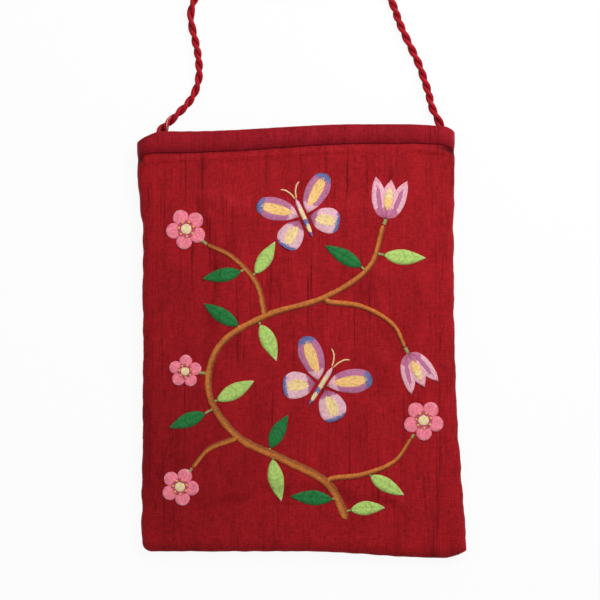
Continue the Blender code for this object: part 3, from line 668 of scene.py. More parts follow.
@dataclass(frozen=True)
class Folds:
    """Small folds in cloth: their height, their count in a metre each way, and how soon they fade."""

    height: float
    across: float
    up: float
    seed: float
    fade: float = math.inf

    def lift(self, x: float, y: float, distance: float = 0.0) -> float:
        """Height of the folds at a place, at a distance from the seam that they stand off."""
        return self.height * wander(x * self.across, y * self.up, self.seed) * math.exp(-distance / self.fade)


@dataclass(frozen=True)
class BagForm:
    """Plan, edges and skins of the bag."""

    length: float = 202.4 * MM
    waist: float = 144.8 * MM
    mouth: float = 148.0 * MM
    base: float = 151.4 * MM
    shifts: tuple[float, float, float] = (-2.7 * MM, -1.7 * MM, 1.0 * MM)
    widens_from: float = 48 * MM
    widens_over: float = 30 * MM
    spreads_below: float = 20 * MM
    rise: float = 3.3 * MM
    rises_between: Point = (0.15, 0.70)
    fall: float = 1.0 * MM
    falls_from: float = 0.85
    base_rise: float = 3.0 * MM
    mouth_left: Corner = Corner(10.5 * MM, 4.9 * MM, 1.22)
    mouth_right: Corner = Corner(4.6 * MM, 2.4 * MM, 1.3)
    base_left: Corner = Corner(4.5 * MM, 4.5 * MM, 2.0)
    base_right: Corner = Corner(9.0 * MM, 3.6 * MM, 1.25)
    band_heights: tuple[float, float] = (11.1 * MM, 9.4 * MM)
    band_droop: float = 2.6 * MM
    droop_reach: float = 8.0 * MM
    side_ripple: float = 0.55 * MM
    band_notch: float = 0.45 * MM
    right_swell: float = 1.1 * MM
    body_thickness: float = 7.6 * MM
    mouth_thickness: float = 10.8 * MM
    wedge_to: float = 86.4 * MM
    crown: float = 0.9 * MM
    roll: float = 6.0 * MM
    seam_gap: float = 0.3 * MM
    wall: float = 1.15 * MM

    def width_at(self, y: float) -> tuple[float, float]:
        """Plan of the bag at a height on it.

        Args:
            y: Height on the bag.

        Returns:
            The width, and the sideways shift of its middle.
        """
        top = smooth((y - self.widens_from) / self.widens_over)
        low = smooth((-self.spreads_below - y) / (self.length / 2 - self.spreads_below))
        width = self.waist + (self.mouth - self.waist) * top + (self.base - self.waist) * low
        at_mouth, at_waist, at_base = self.shifts
        return width, at_waist + (at_mouth - at_waist) * top + (at_base - at_waist) * low

    def ripple(self, y: float, hand: Hand) -> float:
        """How far the puckered side seam stands in.

        Args:
            y: Height on the bag.
            hand: Which side.

        Returns:
            The distance, which is below 0 where the seam stands out.
        """
        seed = 3.7 * hand.value
        fine = wander(y * 120, 0.0, seed) + 0.45 * wander(y * 300, 2.0, seed)
        notch = math.exp(-((y - self.groove_edge(0.0 if hand is Hand.LEFT else 1.0)) / (2.2 * MM)) ** 2)
        fade = smooth((self.length / 2 - 14 * MM - y) / (12 * MM))
        full = self.right_swell * math.exp(-((y + 30 * MM) / (36 * MM)) ** 2) if hand is Hand.RIGHT else 0.0
        return self.side_ripple * fine * mix(0.3, 1.0, fade) + self.band_notch * notch - full

    def lean(self, u: float) -> float:
        """How far the mouth's edge lies below the bag's highest point.

        Args:
            u: Share of the width from the left.

        Returns:
            The distance.
        """
        low, high = self.rises_between
        risen = smooth((u - low) / (high - low))
        fallen = smooth((u - self.falls_from) / (1 - self.falls_from))
        return self.rise * (1 - risen) + self.fall * fallen

    def mouth_edge(self, u: float) -> float:
        """Y of the mouth's edge at a share of the width from the left."""
        falls = self.mouth_left.fall(u * self.mouth) + self.mouth_right.fall((1 - u) * self.mouth)
        return self.length / 2 - 0.5 * MM - self.lean(u) - falls

    def groove_edge(self, u: float) -> float:
        """Y of the seam under the band.

        Args:
            u: Share of the width from the left.

        Returns:
            The seam's Y.
        """
        near = min(u, 1 - u) * self.mouth / self.droop_reach
        droop = self.band_droop * max(0.0, 1 - near) ** 2
        wobble = 0.25 * MM * wander(u * 9, 1.0, 0.4)
        return self.length / 2 - self.lean(u) - mix(*self.band_heights, u) - droop + wobble

    def base_edge(self, u: float) -> float:
        """Y of the base seam.

        Args:
            u: Share of the width from the left.

        Returns:
            The seam's Y.
        """
        rise = self.base_rise * (1 - smooth((u - 0.5) / 0.42))
        falls = self.base_left.fall(u * self.base) + self.base_right.fall((1 - u) * self.base)
        wobble = 0.22 * MM * wander(u * 30, 5.0, 2.2) * smooth(min(u, 1 - u) / 0.06)
        return -self.length / 2 + rise + falls + wobble

    def wedge_at(self, y: float) -> float:
        """Thickness of the bag at its sides."""
        share = (y + self.length / 2) / (self.wedge_to + self.length / 2)
        return mix(self.body_thickness, self.mouth_thickness, min(max(share, 0.0), 1.0))

    def thickness_at(self, x: float, y: float) -> float:
        """Thickness of the bag with the crown of its front.

        Args:
            x: Place across the bag.
            y: Height on the bag.

        Returns:
            The thickness.
        """
        width, shift = self.width_at(y)
        side = max(0.0, 1 - (2 * (x - shift) / width) ** 2)
        length = max(0.0, 1 - (2 * y / self.length) ** 2)
        return self.wedge_at(y) + self.crown * side * length

    def roll_share(self, distance: float) -> float:
        """Share of its full height that the skin reaches at that distance in from the seam."""
        near = max(0.0, 1 - distance / self.roll)
        return math.sqrt(max(0.0, 1 - near * near))

    def skin(self, side: Side, u: float, y: float, from_base: float, lift: float = 0.0,
             depth: float = 0.0) -> Vector:
        """A point of the bag's skin.

        Args:
            side: Front or back wall.
            u: Share of the width from the left.
            y: Height on the bag.
            from_base: Distance in from the base seam.
            lift: Extra height, which fades towards the seams.
            depth: Distance under the outer face.

        Returns:
            The point.
        """
        width, shift = self.width_at(y)
        left = shift - width / 2 + self.ripple(y, Hand.LEFT) + depth
        right = shift + width / 2 - self.ripple(y, Hand.RIGHT) - depth
        x = mix(left, right, u)
        share = self.roll_share(min(x - left, right - x)) * self.roll_share(from_base)
        half = self.wedge_at(y) / 2
        if side is Side.FRONT:
            seam = half + self.seam_gap / 2
            face = self.thickness_at(x, y) - depth + lift
        else:
            seam = half - self.seam_gap / 2
            face = max(depth - lift, 0.0)
        return Vector((x, y, seam + (face - seam) * share))

    def stations(self, steps: int, between: int) -> list[float]:
        """Shares across the bag, closer together round its rolled sides.

        Args:
            steps: Steps round each rolled side.
            between: Steps over the flat.

        Returns:
            The shares from 0 to 1.
        """
        edge = self.roll / self.waist
        side = [edge * (1 - math.cos(QUARTER * k / steps)) for k in range(steps)]
        flat = [mix(edge, 1 - edge, k / between) for k in range(between + 1)]
        return side + flat + [1 - s for s in reversed(side)]


def show(name: str, bm: Mesh, finish: Finish, slot: str, *replaced: str) -> Piece:
    """Makes a finished piece of the bag from a bmesh and reports it.

    Args:
        name: The piece's name.
        bm: Its shape, which is freed.
        finish: Its finish.
        slot: The record's material slot; not used.
        replaced: CAD nodes that it stands for.

    Returns:
        The piece.
    """
    mesh = bpy.data.meshes.new(name)
    bm.to_mesh(mesh)
    bm.free()
    mesh.materials.append(finish.material())
    mesh.shade_smooth()
    piece = bpy.data.objects.new(name, mesh)
    bpy.context.scene.collection.objects.link(piece)
    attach(piece, "bag")
    if replaced:
        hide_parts(*replaced)
    LOG.info("made %s: %d faces", name, len(mesh.polygons))
    return piece


class Leg(Enum):
    """The stretches of a folded band, from the seam under it to the inside of the mouth."""

    OUTER = "outside"
    FOLD = "round the lip"
    INNER = "inside"


@dataclass
class ClothWalls:
    """The padded front and back panels and the folded bands round the mouth."""

    SETTLING: ClassVar[dict[str, object]] = {
        "quality": 5, "mass": 0.25, "tension_stiffness": 20, "compression_stiffness": 20,
        "shear_stiffness": 8, "bending_stiffness": 0.4, "vertex_group_mass": "seams",
        "shrink_min": -0.022, "use_pressure": True, "uniform_pressure_force": 0.6,
    }

    form: BagForm
    sim_columns: int = 62
    sim_rows: int = 84
    sim_frames: int = 22
    sim_scale: float = 20.0
    sim_cap: float = 0.9 * MM
    roll_steps: int = 9
    flat_to: float = 0.955
    groove_steps: int = 12
    side_folds: tuple[Folds, Folds] = (Folds(0.55 * MM, 170, 40, 1.0, 6.5 * MM),
                                       Folds(0.55 * MM, 170, 40, 7.0, 6.5 * MM))
    top_folds: Folds = Folds(0.32 * MM, 150, 22, 4.0, 9 * MM)
    base_folds: Folds = Folds(0.40 * MM, 160, 30, 9.0, 6 * MM)
    broad_folds: Folds = Folds(0.28 * MM, 26, 20, 12.0)
    pulls: Folds = Folds(1.15 * MM, 88, 14, 21.0)
    band_folds: tuple[Folds, Folds] = (Folds(0.26 * MM, 120, 60, 15.0), Folds(0.2 * MM, 38, 90, 17.0))
    free_dip: float = 0.28 * MM
    ridge: float = 0.75 * MM
    ridge_below: float = 3.1 * MM
    ridge_width: float = 1.5 * MM
    groove_depth: float = 0.62 * MM
    groove_reach: float = 3.0 * MM
    band_swell: float = 0.55 * MM
    band_groove: float = 0.42 * MM
    relief: np.ndarray | None = None
    surface: BVHTree | None = None

    def loose_cloth(self) -> tuple[Piece, dict[tuple[int, int], int]]:
        """The front's cloth before it settles, enlarged for the simulation and pinned at its seams.

        Returns:
            The cloth, and its column and row to the number of its vertex.
        """
        bm = bmesh.new()
        spots = grid(bm, self.sim_columns, self.sim_rows)
        bm.verts.index_update()
        for v, i, j in spots:
            v.co = self.front_at(i / self.sim_columns, j / self.sim_rows) * self.sim_scale
        places = {(i, j): v.index for v, i, j in spots}
        rim = [v.index for v in bm.verts if v.is_boundary]
        mesh = bpy.data.meshes.new("settling_cloth")
        bm.to_mesh(mesh)
        bm.free()
        cloth = bpy.data.objects.new("settling_cloth", mesh)
        bpy.context.scene.collection.objects.link(cloth)
        cloth.vertex_groups.new(name="seams").add(rim, 1.0, "REPLACE")
        return cloth, places

    def relax(self) -> None:
        """Lets the front's cloth, cut a little larger than its seams, settle into shallow puckers."""
        cloth, places = self.loose_cloth()
        modifier = cloth.modifiers.new("cloth", "CLOTH")
        for name, value in self.SETTLING.items():
            setattr(modifier.settings, name, value)
        modifier.settings.effector_weights.gravity = 0.0
        modifier.collision_settings.use_collision = False
        for number in range(1, self.sim_frames + 1):
            bpy.context.scene.frame_set(number)
        settled = cloth.evaluated_get(bpy.context.evaluated_depsgraph_get()).to_mesh()
        before, after = np.empty(len(places) * 3), np.empty(len(places) * 3)
        cloth.data.vertices.foreach_get("co", before)
        settled.vertices.foreach_get("co", after)
        lifts = (after - before).reshape(-1, 3)[:, 2] / self.sim_scale
        relief = np.zeros((self.sim_columns + 1, self.sim_rows + 1))
        for place, index in places.items():
            relief[place] = lifts[index]
        relief -= np.median(relief[4:-4, 4:-4])
        self.relief = np.clip(relief, -self.sim_cap, self.sim_cap)
        bpy.context.scene.frame_set(1)
        bpy.data.objects.remove(cloth)
        LOG.info("cloth settled: relief from %.2f to %.2f mm", self.relief.min() / MM, self.relief.max() / MM)

    def front_at(self, u: float, t: float) -> Vector:
        """A point of the smooth front.

        Args:
            u: Share across from the left.
            t: Share up from the base seam to the seam under the band.

        Returns:
            The point.
        """
        low, high = self.form.base_edge(u), self.form.groove_edge(u) + 0.3 * MM
        y = mix(low, high, t)
        return self.form.skin(Side.FRONT, u, y, y - low)

    def relief_at(self, u: float, t: float) -> float:
        """The settled cloth's height over its smooth form.

        Args:
            u: Share across from the left.
            t: Share up from the base seam.

        Returns:
            The height, or 0 where no cloth was settled.
        """
        if self.relief is None:
            return 0.0
        x, y = u * self.sim_columns, t * self.sim_rows
        i, j = min(int(x), self.sim_columns - 1), min(int(y), self.sim_rows - 1)
        low = mix(self.relief[i, j], self.relief[i + 1, j], x - i)
        high = mix(self.relief[i, j + 1], self.relief[i + 1, j + 1], x - i)
        return mix(low, high, y - j)

    def pucker(self, u: float, y: float, low: float, high: float) -> float:
        """Height of the small folds that stand off the seams.

        Args:
            u: Share across from the left.
            y: Height on the bag.
            low: Y of the base seam there.
            high: Y of the seam under the band there.

        Returns:
            The height.
        """
        width, _ = self.form.width_at(y)
        from_side = min(u, 1 - u) * width
        x = (u - 0.5) * width
        side = self.side_folds[0 if u < 0.5 else 1].lift(y, from_side, from_side)
        seams = side + self.top_folds.lift(x, y, high - y) + self.base_folds.lift(x, y, y - low)
        pull = self.pulls.lift(y + 0.5 * abs(x), x) * smooth((y + 20 * MM) / (60 * MM))
        return seams + self.broad_folds.lift(x, y) + pull * smooth(1.1 - from_side / (60 * MM))

    def held(self, lift: float) -> float:
        """The silk's height with its dips held off the lining: they level out at twice the free dip."""
        dip = self.free_dip
        return lift if lift > -dip else -dip - dip * math.tanh((-dip - lift) / dip)

    def front_lift(self, u: float, t: float, y: float, low: float, high: float) -> float:
        """Height of the front's silk over its smooth form.

        Args:
            u: Share across from the left.
            t: Share up from the base seam.
            y: Height on the bag.
            low: Y of the base seam there.
            high: Y of the seam under the band there.

        Returns:
            The height of its folds, with the ridge and the groove under the band.
        """
        near = max(0.0, 1 - (high - y) / self.groove_reach)
        ridge = self.ridge * math.exp(-((high - y - self.ridge_below) / self.ridge_width) ** 2)
        lift = self.held(self.relief_at(u, t) + self.pucker(u, y, low, high) + ridge)
        return lift * (1 - near) - self.groove_depth * near ** 2

    def tucked_end_shade(self, u: float) -> float:
        """Share of painted shade where the cloth is tucked in at the ends of the seam under the band: 1 at
        the sides, 0 inside.
        """
        reach = 5.0 * MM if u < 0.5 else 13.0 * MM
        return smooth(1 - min(u, 1 - u) * self.form.mouth / reach)

    def lower_left_shade(self, u: float, y: float) -> float:
        """Painted shade: how far the silk's colour is darkened in a soft patch at its lower left, where the
        light falls off.
        """
        across = (u * self.form.waist - 4.0 * MM) / (38.0 * MM)
        return 0.3 * math.exp(-across ** 2 - ((y + 45.0 * MM) / (58.0 * MM)) ** 2)

    def painted_shade_at(self, u: float, y: float, high: float) -> float:
        """How much painted shade darkens the front's silk: in its seam under the band, at its tucked ends and
        at its lower left.

        Args:
            u: Share across from the left.
            y: Height on the bag.
            high: Y of the seam under the band there.

        Returns:
            The share, from 0 to 1.
        """
        below = high - y
        # Painted shade in the seam under the band, darker on the left, away from the key lamp.
        seam = mix(0.44, 0.16, u) * max(0.0, 1 - below / (1.6 * MM)) ** 1.3
        return max(seam, self.tucked_end_shade(u) * smooth(1.6 - below / (2.3 * MM)), self.lower_left_shade(u, y))

    def panel(self, side: Side) -> Piece:
        """A padded panel from the base seam to the seam under the band.

        Args:
            side: Front or back.

        Returns:
            The panel.
        """
        front, form = side is Side.FRONT, self.form
        columns, rows, over = (116, 140, 0.3 * MM) if front else (60, 70, -form.seam_gap / 2)
        shares = form.stations(self.roll_steps, columns)
        foot = form.roll / form.length
        ups = [foot * (1 - math.cos(QUARTER * k / self.roll_steps)) for k in range(self.roll_steps)]
        ups += [mix(foot, self.flat_to, k / rows) for k in range(rows + 1)]
        ups += [mix(self.flat_to, 1.0, 1 - (1 - k / self.groove_steps) ** 1.6)
                for k in range(1, self.groove_steps + 1)]
        bm = bmesh.new()
        painted_shade = bm.verts.layers.float.new("painted_shade")
        for v, i, j in grid(bm, len(shares) - 1, len(ups) - 1):
            u, t = shares[i], ups[j]
            low, high = form.base_edge(u), form.groove_edge(u) + over
            y = mix(low, high, t)
            # The front's painted shade: in its seam under the band, at its tucked ends and at its lower left.
            v[painted_shade] = self.painted_shade_at(u, y, high) if front else 0.0
            v.co = form.skin(side, u, y, y - low, self.front_lift(u, t, y, low, high) if front else 0.0)
        if not front:
            bmesh.ops.reverse_faces(bm, faces=bm.faces)
        piece = show(f"{side.value}_silk_panel", bm, RED_SILK, "red_silk", f"{side.value}_panel")
        if front:
            self.surface = BVHTree.FromObject(piece, bpy.context.evaluated_depsgraph_get())
        self.thicken(piece, form.wall - (0.25 if front else 0.05) * MM)
        return piece

    def outer_lift(self, u: float, value: float) -> float:
        """Height of the front band over the bag's smooth form.

        Args:
            u: Share across from the left.
            value: Share up the band from the seam under it.

        Returns:
            The height of its swell and folds, with the groove's half.
        """
        form = self.form
        low, high = form.groove_edge(u) + form.seam_gap / 2, self.fold_edge(u)
        x, y = (u - 0.5) * form.mouth, mix(low, high, value)
        swell = math.sin(math.pi * min(value * 1.08, 1.0)) ** 0.7
        folds = self.band_folds[0].lift(x, y) + self.band_folds[1].lift(x, y)
        lift = self.band_swell * swell + folds * math.sin(math.pi * value)
        return lift - self.band_groove * max(0.0, 1 - value * 4) ** 1.5

    def fold_edge(self, u: float) -> float:
        """Y at which the band begins to fold over the lip."""
        return self.form.mouth_edge(u) - self.form.wall / 2 + 0.12 * MM * wander(u * 40, 0.0, 6.0)

    def band(self, side: Side) -> Piece:
        """The strip of silk folded over one lip of the mouth.

        Args:
            side: Front or back.

        Returns:
            The band.
        """
        front, form = side is Side.FRONT, self.form
        shares = form.stations(self.roll_steps, 110)
        radius, legs, turns = form.wall / 2, 12, 8
        rows = [(Leg.OUTER, k / legs) for k in range(legs)]
        rows += [(Leg.FOLD, math.pi * k / turns) for k in range(turns + 1)]
        rows += [(Leg.INNER, 1 - k / legs) for k in range(1, legs + 1)]
        bm = bmesh.new()
        painted_shade = bm.verts.layers.float.new("painted_shade")
        for v, i, j in grid(bm, len(shares) - 1, len(rows) - 1):
            u, (leg, value) = shares[i], rows[j]
            low, high = form.groove_edge(u) + form.seam_gap / 2, self.fold_edge(u)
            y, lift, depth = mix(low, high, value), 0.0, 0.0
            if leg is Leg.FOLD:
                y, depth = high + radius * math.sin(value), radius * (1 - math.cos(value))
            elif leg is Leg.INNER:
                depth = 2 * radius
            elif front:
                lift = self.outer_lift(u, value)
                # Painted shade on the band: along its lower edge by the seam, wider at its tucked ends, and
                # over its lowest part.
                seam = 1 - (y - low) / ((1.6 + 1.2 * self.tucked_end_shade(u)) * MM)
                v[painted_shade] = max(mix(0.38, 0.12, u) * max(0.0, seam) ** 1.4, 0.24 * smooth(1.15 - 1.6 * value))
            v.co = form.skin(side, u, y, 1.0, lift, depth)
        if not front:
            bmesh.ops.reverse_faces(bm, faces=bm.faces)
        piece = show(f"{side.value}_silk_band", bm, BAND_SILK, "red_band_silk", f"{side.value}_top_band")
        self.thicken(piece, 0.33 * MM)
        return piece

    @staticmethod
    def thicken(piece: Piece, thickness: float) -> None:
        """Gives a piece its thickness, inwards."""
        wall = piece.modifiers.new("wall", "SOLIDIFY")
        wall.thickness, wall.offset = thickness, -1.0

    def height(self, x: float, y: float) -> float:
        """Height of the front's silk at a place."""
        hit = self.surface.ray_cast(Vector((x, y, 0.05)), Vector((0.0, 0.0, -1.0)))[0]
        return hit.z if hit else self.form.thickness_at(x, y)


# Embroidery


class Lay(Enum):
    """How the threads of a field lie."""

    FAN = "from end to end"
    BONE = "slanting out from the middle line"
    TWILL = "slanting across"


@dataclass
class SatinWork:
    """Gathers raised fields of satin stitch into one piece. Plans are drawn in millimetres."""

    LAYERS: ClassVar[tuple[str, ...]] = ("row", "reach", "share", "side", "rim", "stalk")
    SLANT: ClassVar[dict[Lay, float]] = {Lay.BONE: 0.75, Lay.TWILL: 0.8}
    COLUMNS: ClassVar[dict[Lay, int]] = {Lay.FAN: 8, Lay.BONE: 10, Lay.TWILL: 10}
    ROWS: ClassVar[int] = 14
    STEPS: ClassVar[int] = 4
    FAN_ROW: ClassVar[float] = 0.5

    walls: ClothWalls
    name: str
    pitch: float = 0.6
    relief: float = 0.2 * MM
    foot: float = 0.3 * MM
    bm: Mesh = field(default_factory=bmesh.new)

    def __post_init__(self) -> None:
        """Makes the layers that the thread's material reads."""
        self.layer = {name: self.bm.verts.layers.float.new(name) for name in self.LAYERS}

    def thread_at(self, lay: Lay, at: float, off: float, side: float, widest: float) -> tuple[float, float]:
        """The thread that covers a place.

        Args:
            lay: How the threads lie.
            at: Distance along the field's middle line.
            off: Distance from the middle line.
            side: The same from -1 to 1.
            widest: Width of the field at its widest.

        Returns:
            The thread's number, and the distance along it.
        """
        if lay is Lay.FAN:
            return side * widest / 2 / self.pitch, at
        reach = abs(off) if lay is Lay.BONE else off
        return (at + self.SLANT[lay] * reach) / self.pitch, reach

    def sew(self, left: Line, right: Line, height: float, lay: Lay, layer: float = 0.0,
            groove: float = 0.0, ends: tuple[float, float] = (0.06, 0.06), stalk: bool = False) -> None:
        """Sews a domed field between two sides that run the same way, ridged by its threads.

        Args:
            left: Points of one side.
            right: As many points of the other side.
            height: Height of the thread over the silk.
            lay: How the threads lie.
            layer: Height at which the field starts.
            groove: Depth of a furrow down its middle, as a share of its height.
            ends: Shares of the length over which each end falls.
            stalk: Whether the field is a stalk, in the thread's second colour.
        """
        spans = len(left) - 1
        along = travelled([(a + b) / 2 for a, b in zip(left, right)])
        widest = max((b - a).length for a, b in zip(left, right))
        fine = self.pitch / self.STEPS
        columns, rows = self.COLUMNS[lay], max(self.ROWS, round(along[-1] / fine))
        if lay is Lay.FAN:
            columns = max(columns, 2 * round(widest / fine / 2))
            rows = max(self.ROWS, round(along[-1] / self.FAN_ROW))
        made = bmesh.ops.create_grid(self.bm, x_segments=columns, y_segments=rows, size=0.5)["verts"]
        for v in made:
            s, t = v.co.x + 0.5, v.co.y + 0.5
            j = min(int(t * spans), spans - 1)
            part = t * spans - j
            one, two = left[j].lerp(left[j + 1], part), right[j].lerp(right[j + 1], part)
            place = one.lerp(two, s) * MM
            side, at, off = 2 * s - 1, mix(along[j], along[j + 1], part), (s - 0.5) * (two - one).length
            row, reach = self.thread_at(lay, at, off, side, widest)
            fall = smooth(t / ends[0]) * smooth((1 - t) / ends[1])
            dome = max(0.0, 1 - abs(side) ** 3.2) ** 0.6
            edge = min(1.0, 1.6 * dome * math.sqrt(fall))
            crown = dome * (1 - groove * math.exp(-(side / 0.14) ** 2)) * math.sqrt(fall)
            ridge = self.relief * (math.sin(math.pi * (row % 1.0)) - 0.7) * edge
            ground = self.walls.height(place.x, place.y)
            v.co = (place.x, place.y, ground + layer + height * crown + ridge)
            # The rim layer marks each field's edge, where the thread's material paints a thin shade.
            values = (row, reach * MM, t, side, max(0.0, 1 - dome * min(1.0, fall * 2)), float(stalk))
            for name, value in zip(self.LAYERS, values):
                v[self.layer[name]] = value
        bmesh.ops.remove_doubles(self.bm, verts=made, dist=1e-6)
        rim = [e for e in self.bm.edges if e.is_boundary]
        grown = bmesh.ops.extrude_edge_only(self.bm, edges=rim)["geom"]
        low = [g for g in grown if isinstance(g, bmesh.types.BMVert)]
        bmesh.ops.translate(self.bm, verts=low, vec=(0.0, 0.0, -self.foot))
        close(self.bm)

    @staticmethod
    def sides(spine: Line, half: list[float]) -> Sides:
        """The two sides of a field.

        Args:
            spine: Points of its middle line.
            half: Its half width at each of them.

        Returns:
            The left side and the right side.
        """
        out = []
        for k, wide in enumerate(half):
            way = ahead(spine, k)
            out.append(Vector((-way.y, way.x)) * wide)
        return [p + o for p, o in zip(spine, out)], [p - o for p, o in zip(spine, out)]

    def stalk(self, roots: Line, foot: Point, heading: float, wide: float = 1.3,
              narrow: float = 1.0) -> None:
        """Sews a short stalk from the nearest stem.

        Args:
            roots: Points along the stems' middle lines.
            foot: Where the stalk ends.
            heading: Direction of the piece that it carries, in degrees.
            wide: Width at the stem.
            narrow: Width at the far end.
        """
        end, steps, bend = Vector(foot), 10, 0.35
        start = min(roots, key=lambda p: (p - end).length)
        back = Vector(turned((bend * (start - end).length, 0.0), heading + 180))
        line = respaced(spline([start, (start + end) / 2 + bend * back, end], 6), steps)
        left, right = self.sides(line, [mix(wide, narrow, k / steps) / 2 for k in range(steps + 1)])
        self.sew(left, right, 0.5 * MM, Lay.TWILL, layer=-0.02 * MM, ends=(0.02, 0.02), stalk=True)

    def knot(self, x: float, y: float, radius: float, layer: float) -> None:
        """Adds a small round knot of thread.

        Args:
            x: Place across, drawn.
            y: Place up, drawn.
            radius: Its radius, drawn.
            layer: Height at which it lies over the silk.
        """
        made = bmesh.ops.create_icosphere(self.bm, subdivisions=2, radius=radius * MM)
        ground = self.walls.height(x * MM, y * MM) + layer
        for v in made["verts"]:
            turn = math.atan2(v.co.y, v.co.x)
            v[self.layer["row"]] = 1.5 * turn + 1.4 * v.co.z / (radius * MM)
            v[self.layer["stalk"]] = 1.0
            v.co = (v.co.x + x * MM, v.co.y + y * MM, v.co.z * 0.7 + ground)

    def finish(self, thread: Thread, *replaced: str) -> Piece:
        """Closes the work and makes its piece, which stands for the CAD nodes named last."""
        bmesh.ops.recalc_face_normals(self.bm, faces=self.bm.faces)
        return show(self.name, self.bm, thread, thread.slot or thread.name, *replaced)


@dataclass(frozen=True)
class Stem:
    """A couched stem that tapers along its length."""

    name: str
    points: Outline
    wide: float
    narrow: float
    fuller: float = 1.2

    def line(self, trunk: Line) -> Line:
        """The stem's middle line.

        Args:
            trunk: The trunk's middle line, on which the stem begins, or nothing for the trunk itself.

        Returns:
            Points along it.
        """
        points = [Vector(p) for p in self.points]
        if trunk:
            points.insert(0, min(trunk, key=lambda p: (p - points[0]).length))
        line = spline(points, 10)
        return respaced(line, max(12, int(travelled(line)[-1] / 0.9)))

    def sew(self, walls: ClothWalls, line: Line) -> None:
        """Sews the stem.

        Args:
            walls: The cloth that it lies on.
            line: Its middle line.
        """
        work = SatinWork(walls, f"{self.name}_stitches", pitch=0.85)
        count = len(line) - 1
        half = []
        for k in range(count + 1):
            t = k / count
            tip = min(1.0, math.sqrt(min(t, 1 - t) * count * 0.9 / (self.wide / 2)))
            bump = 1 + 0.14 * wander(t * count * 0.3, 0.0, self.wide + self.points[0][0])
            half.append(mix(self.wide, self.narrow, t) / 2 * self.fuller * tip * bump)
        work.sew(*work.sides(line, half), 0.75 * MM, Lay.TWILL, ends=(0.01, 0.01))
        work.finish(BROWN, self.name)


@dataclass(frozen=True)
class Leaf:
    """A pointed leaf, sewn from its midrib to its sides, on a short stalk."""

    name: str
    thread: Thread
    x: float
    y: float
    heading: float
    length: float
    width: float

    def sew(self, walls: ClothWalls, roots: Line) -> None:
        """Sews the stalk, then the leaf.

        Args:
            walls: The cloth that it lies on.
            roots: Points along the stems' middle lines.
        """
        rows = 26
        work = SatinWork(walls, f"{self.name}_stitches")
        bend = 4.8 * wander(self.x * 0.3, self.y * 0.3, 2.0)
        spine, half = [], []
        for k in range(rows + 1):
            t = k / rows
            a, b = turned((self.length * t, bend * t * (1 - t)), self.heading)
            spine.append(Vector((self.x + a, self.y + b)))
            swell = math.sin(math.pi * t ** 0.85) ** 0.9 if 0 < t < 1 else 0.0
            wave = 1 + 0.07 * wander(t * 5, self.x, self.y)
            half.append(self.width / 2 * swell * wave + 0.35 * (1 - t) * min(k, 1))
        work.stalk(roots, (self.x, self.y), self.heading)
        work.sew(*work.sides(spine, half), 0.72 * MM, Lay.BONE, groove=0.3)
        work.finish(self.thread, self.name)


@dataclass(frozen=True)
class Blossom:
    """A blossom of five petals round a knotted centre, on a stalk."""

    name: str
    x: float
    y: float
    radius: float
    turn: float
    petals: int = 5
    knots: int = 7

    def petal(self, angle: float) -> Sides:
        """One petal's plan.

        Args:
            angle: The way that it points, in degrees.

        Returns:
            Its two sides.
        """
        rows = 16
        spine, half = [], []
        for k in range(rows + 1):
            t = k / rows
            a, b = turned((self.radius * mix(0.12, 1.0, t), 0.0), angle)
            spine.append(Vector((self.x + a, self.y + b)))
            half.append(0.385 * self.radius * math.sin(math.pi * t ** 1.25) ** 0.55 if 0 < t < 1 else 0.0)
        return SatinWork.sides(spine, half)

    def sew(self, walls: ClothWalls, roots: Line) -> None:
        """Sews the petals and the stalk, then the centre.

        Args:
            walls: The cloth that it lies on.
            roots: Points along the stems' middle lines.
        """
        work = SatinWork(walls, f"{self.name}_stitches", pitch=0.5)
        for k in range(self.petals):
            angle = (k + 0.5) * 360 / self.petals + self.turn
            work.sew(*self.petal(angle), 0.7 * MM, Lay.FAN, ends=(0.1, 0.12))
        middle = Vector((self.x, self.y))
        away = (min(roots, key=lambda p: (p - middle).length) - middle).normalized()
        foot = middle + away * self.radius * 0.82
        work.stalk(roots, (foot.x, foot.y), math.degrees(math.atan2(-away.y, -away.x)), 1.5, 1.2)
        work.finish(PINK, self.name)
        self.sew_centre(walls)

    def sew_centre(self, walls: ClothWalls) -> None:
        """Sews the round centre with its ring of knots.

        Args:
            walls: The cloth that it lies on.
        """
        work = SatinWork(walls, f"{self.name}_heart_stitches", pitch=0.5)
        rows, wide = 12, 0.27 * self.radius
        spine, half = [], []
        for k in range(rows + 1):
            across = 2 * k / rows - 1
            spine.append(Vector((self.x + wide * across, self.y)))
            half.append(wide * math.sqrt(max(0.0, 1 - across ** 2)))
        work.sew(*work.sides(spine, half), 0.45 * MM, Lay.TWILL, layer=0.5 * MM)
        for k in range(self.knots):
            x, y = turned((0.36 * self.radius, 0.0), 360 * k / self.knots + 17.2)
            work.knot(self.x + x, self.y + y, 0.066 * self.radius, 0.85 * MM)
        work.finish(CREAM, f"{self.name}_centre")


@dataclass(frozen=True)
class Placed:
    """A motif that is drawn round a point and turned to its heading."""

    name: str
    x: float
    y: float
    heading: float
    size: float

    def side(self, shape: Outline, mirror: float, count: int) -> Line:
        """One side of a field.

        Args:
            shape: Its points, as shares of the motif's size.
            mirror: 1 or -1 for the motif's left or right.
            count: Number of steps.

        Returns:
            The side's points.
        """
        line = []
        for a, b in shape:
            across, up = turned((self.size * a, mirror * self.size * b), self.heading)
            line.append(Vector((self.x + across, self.y + up)))
        return respaced(spline(line, 8), count)

    def both(self, shape: Outline, count: int) -> Sides:
        """Both sides of a field that is even about the motif's middle line."""
        return self.side(shape, 1.0, count), self.side(shape, -1.0, count)


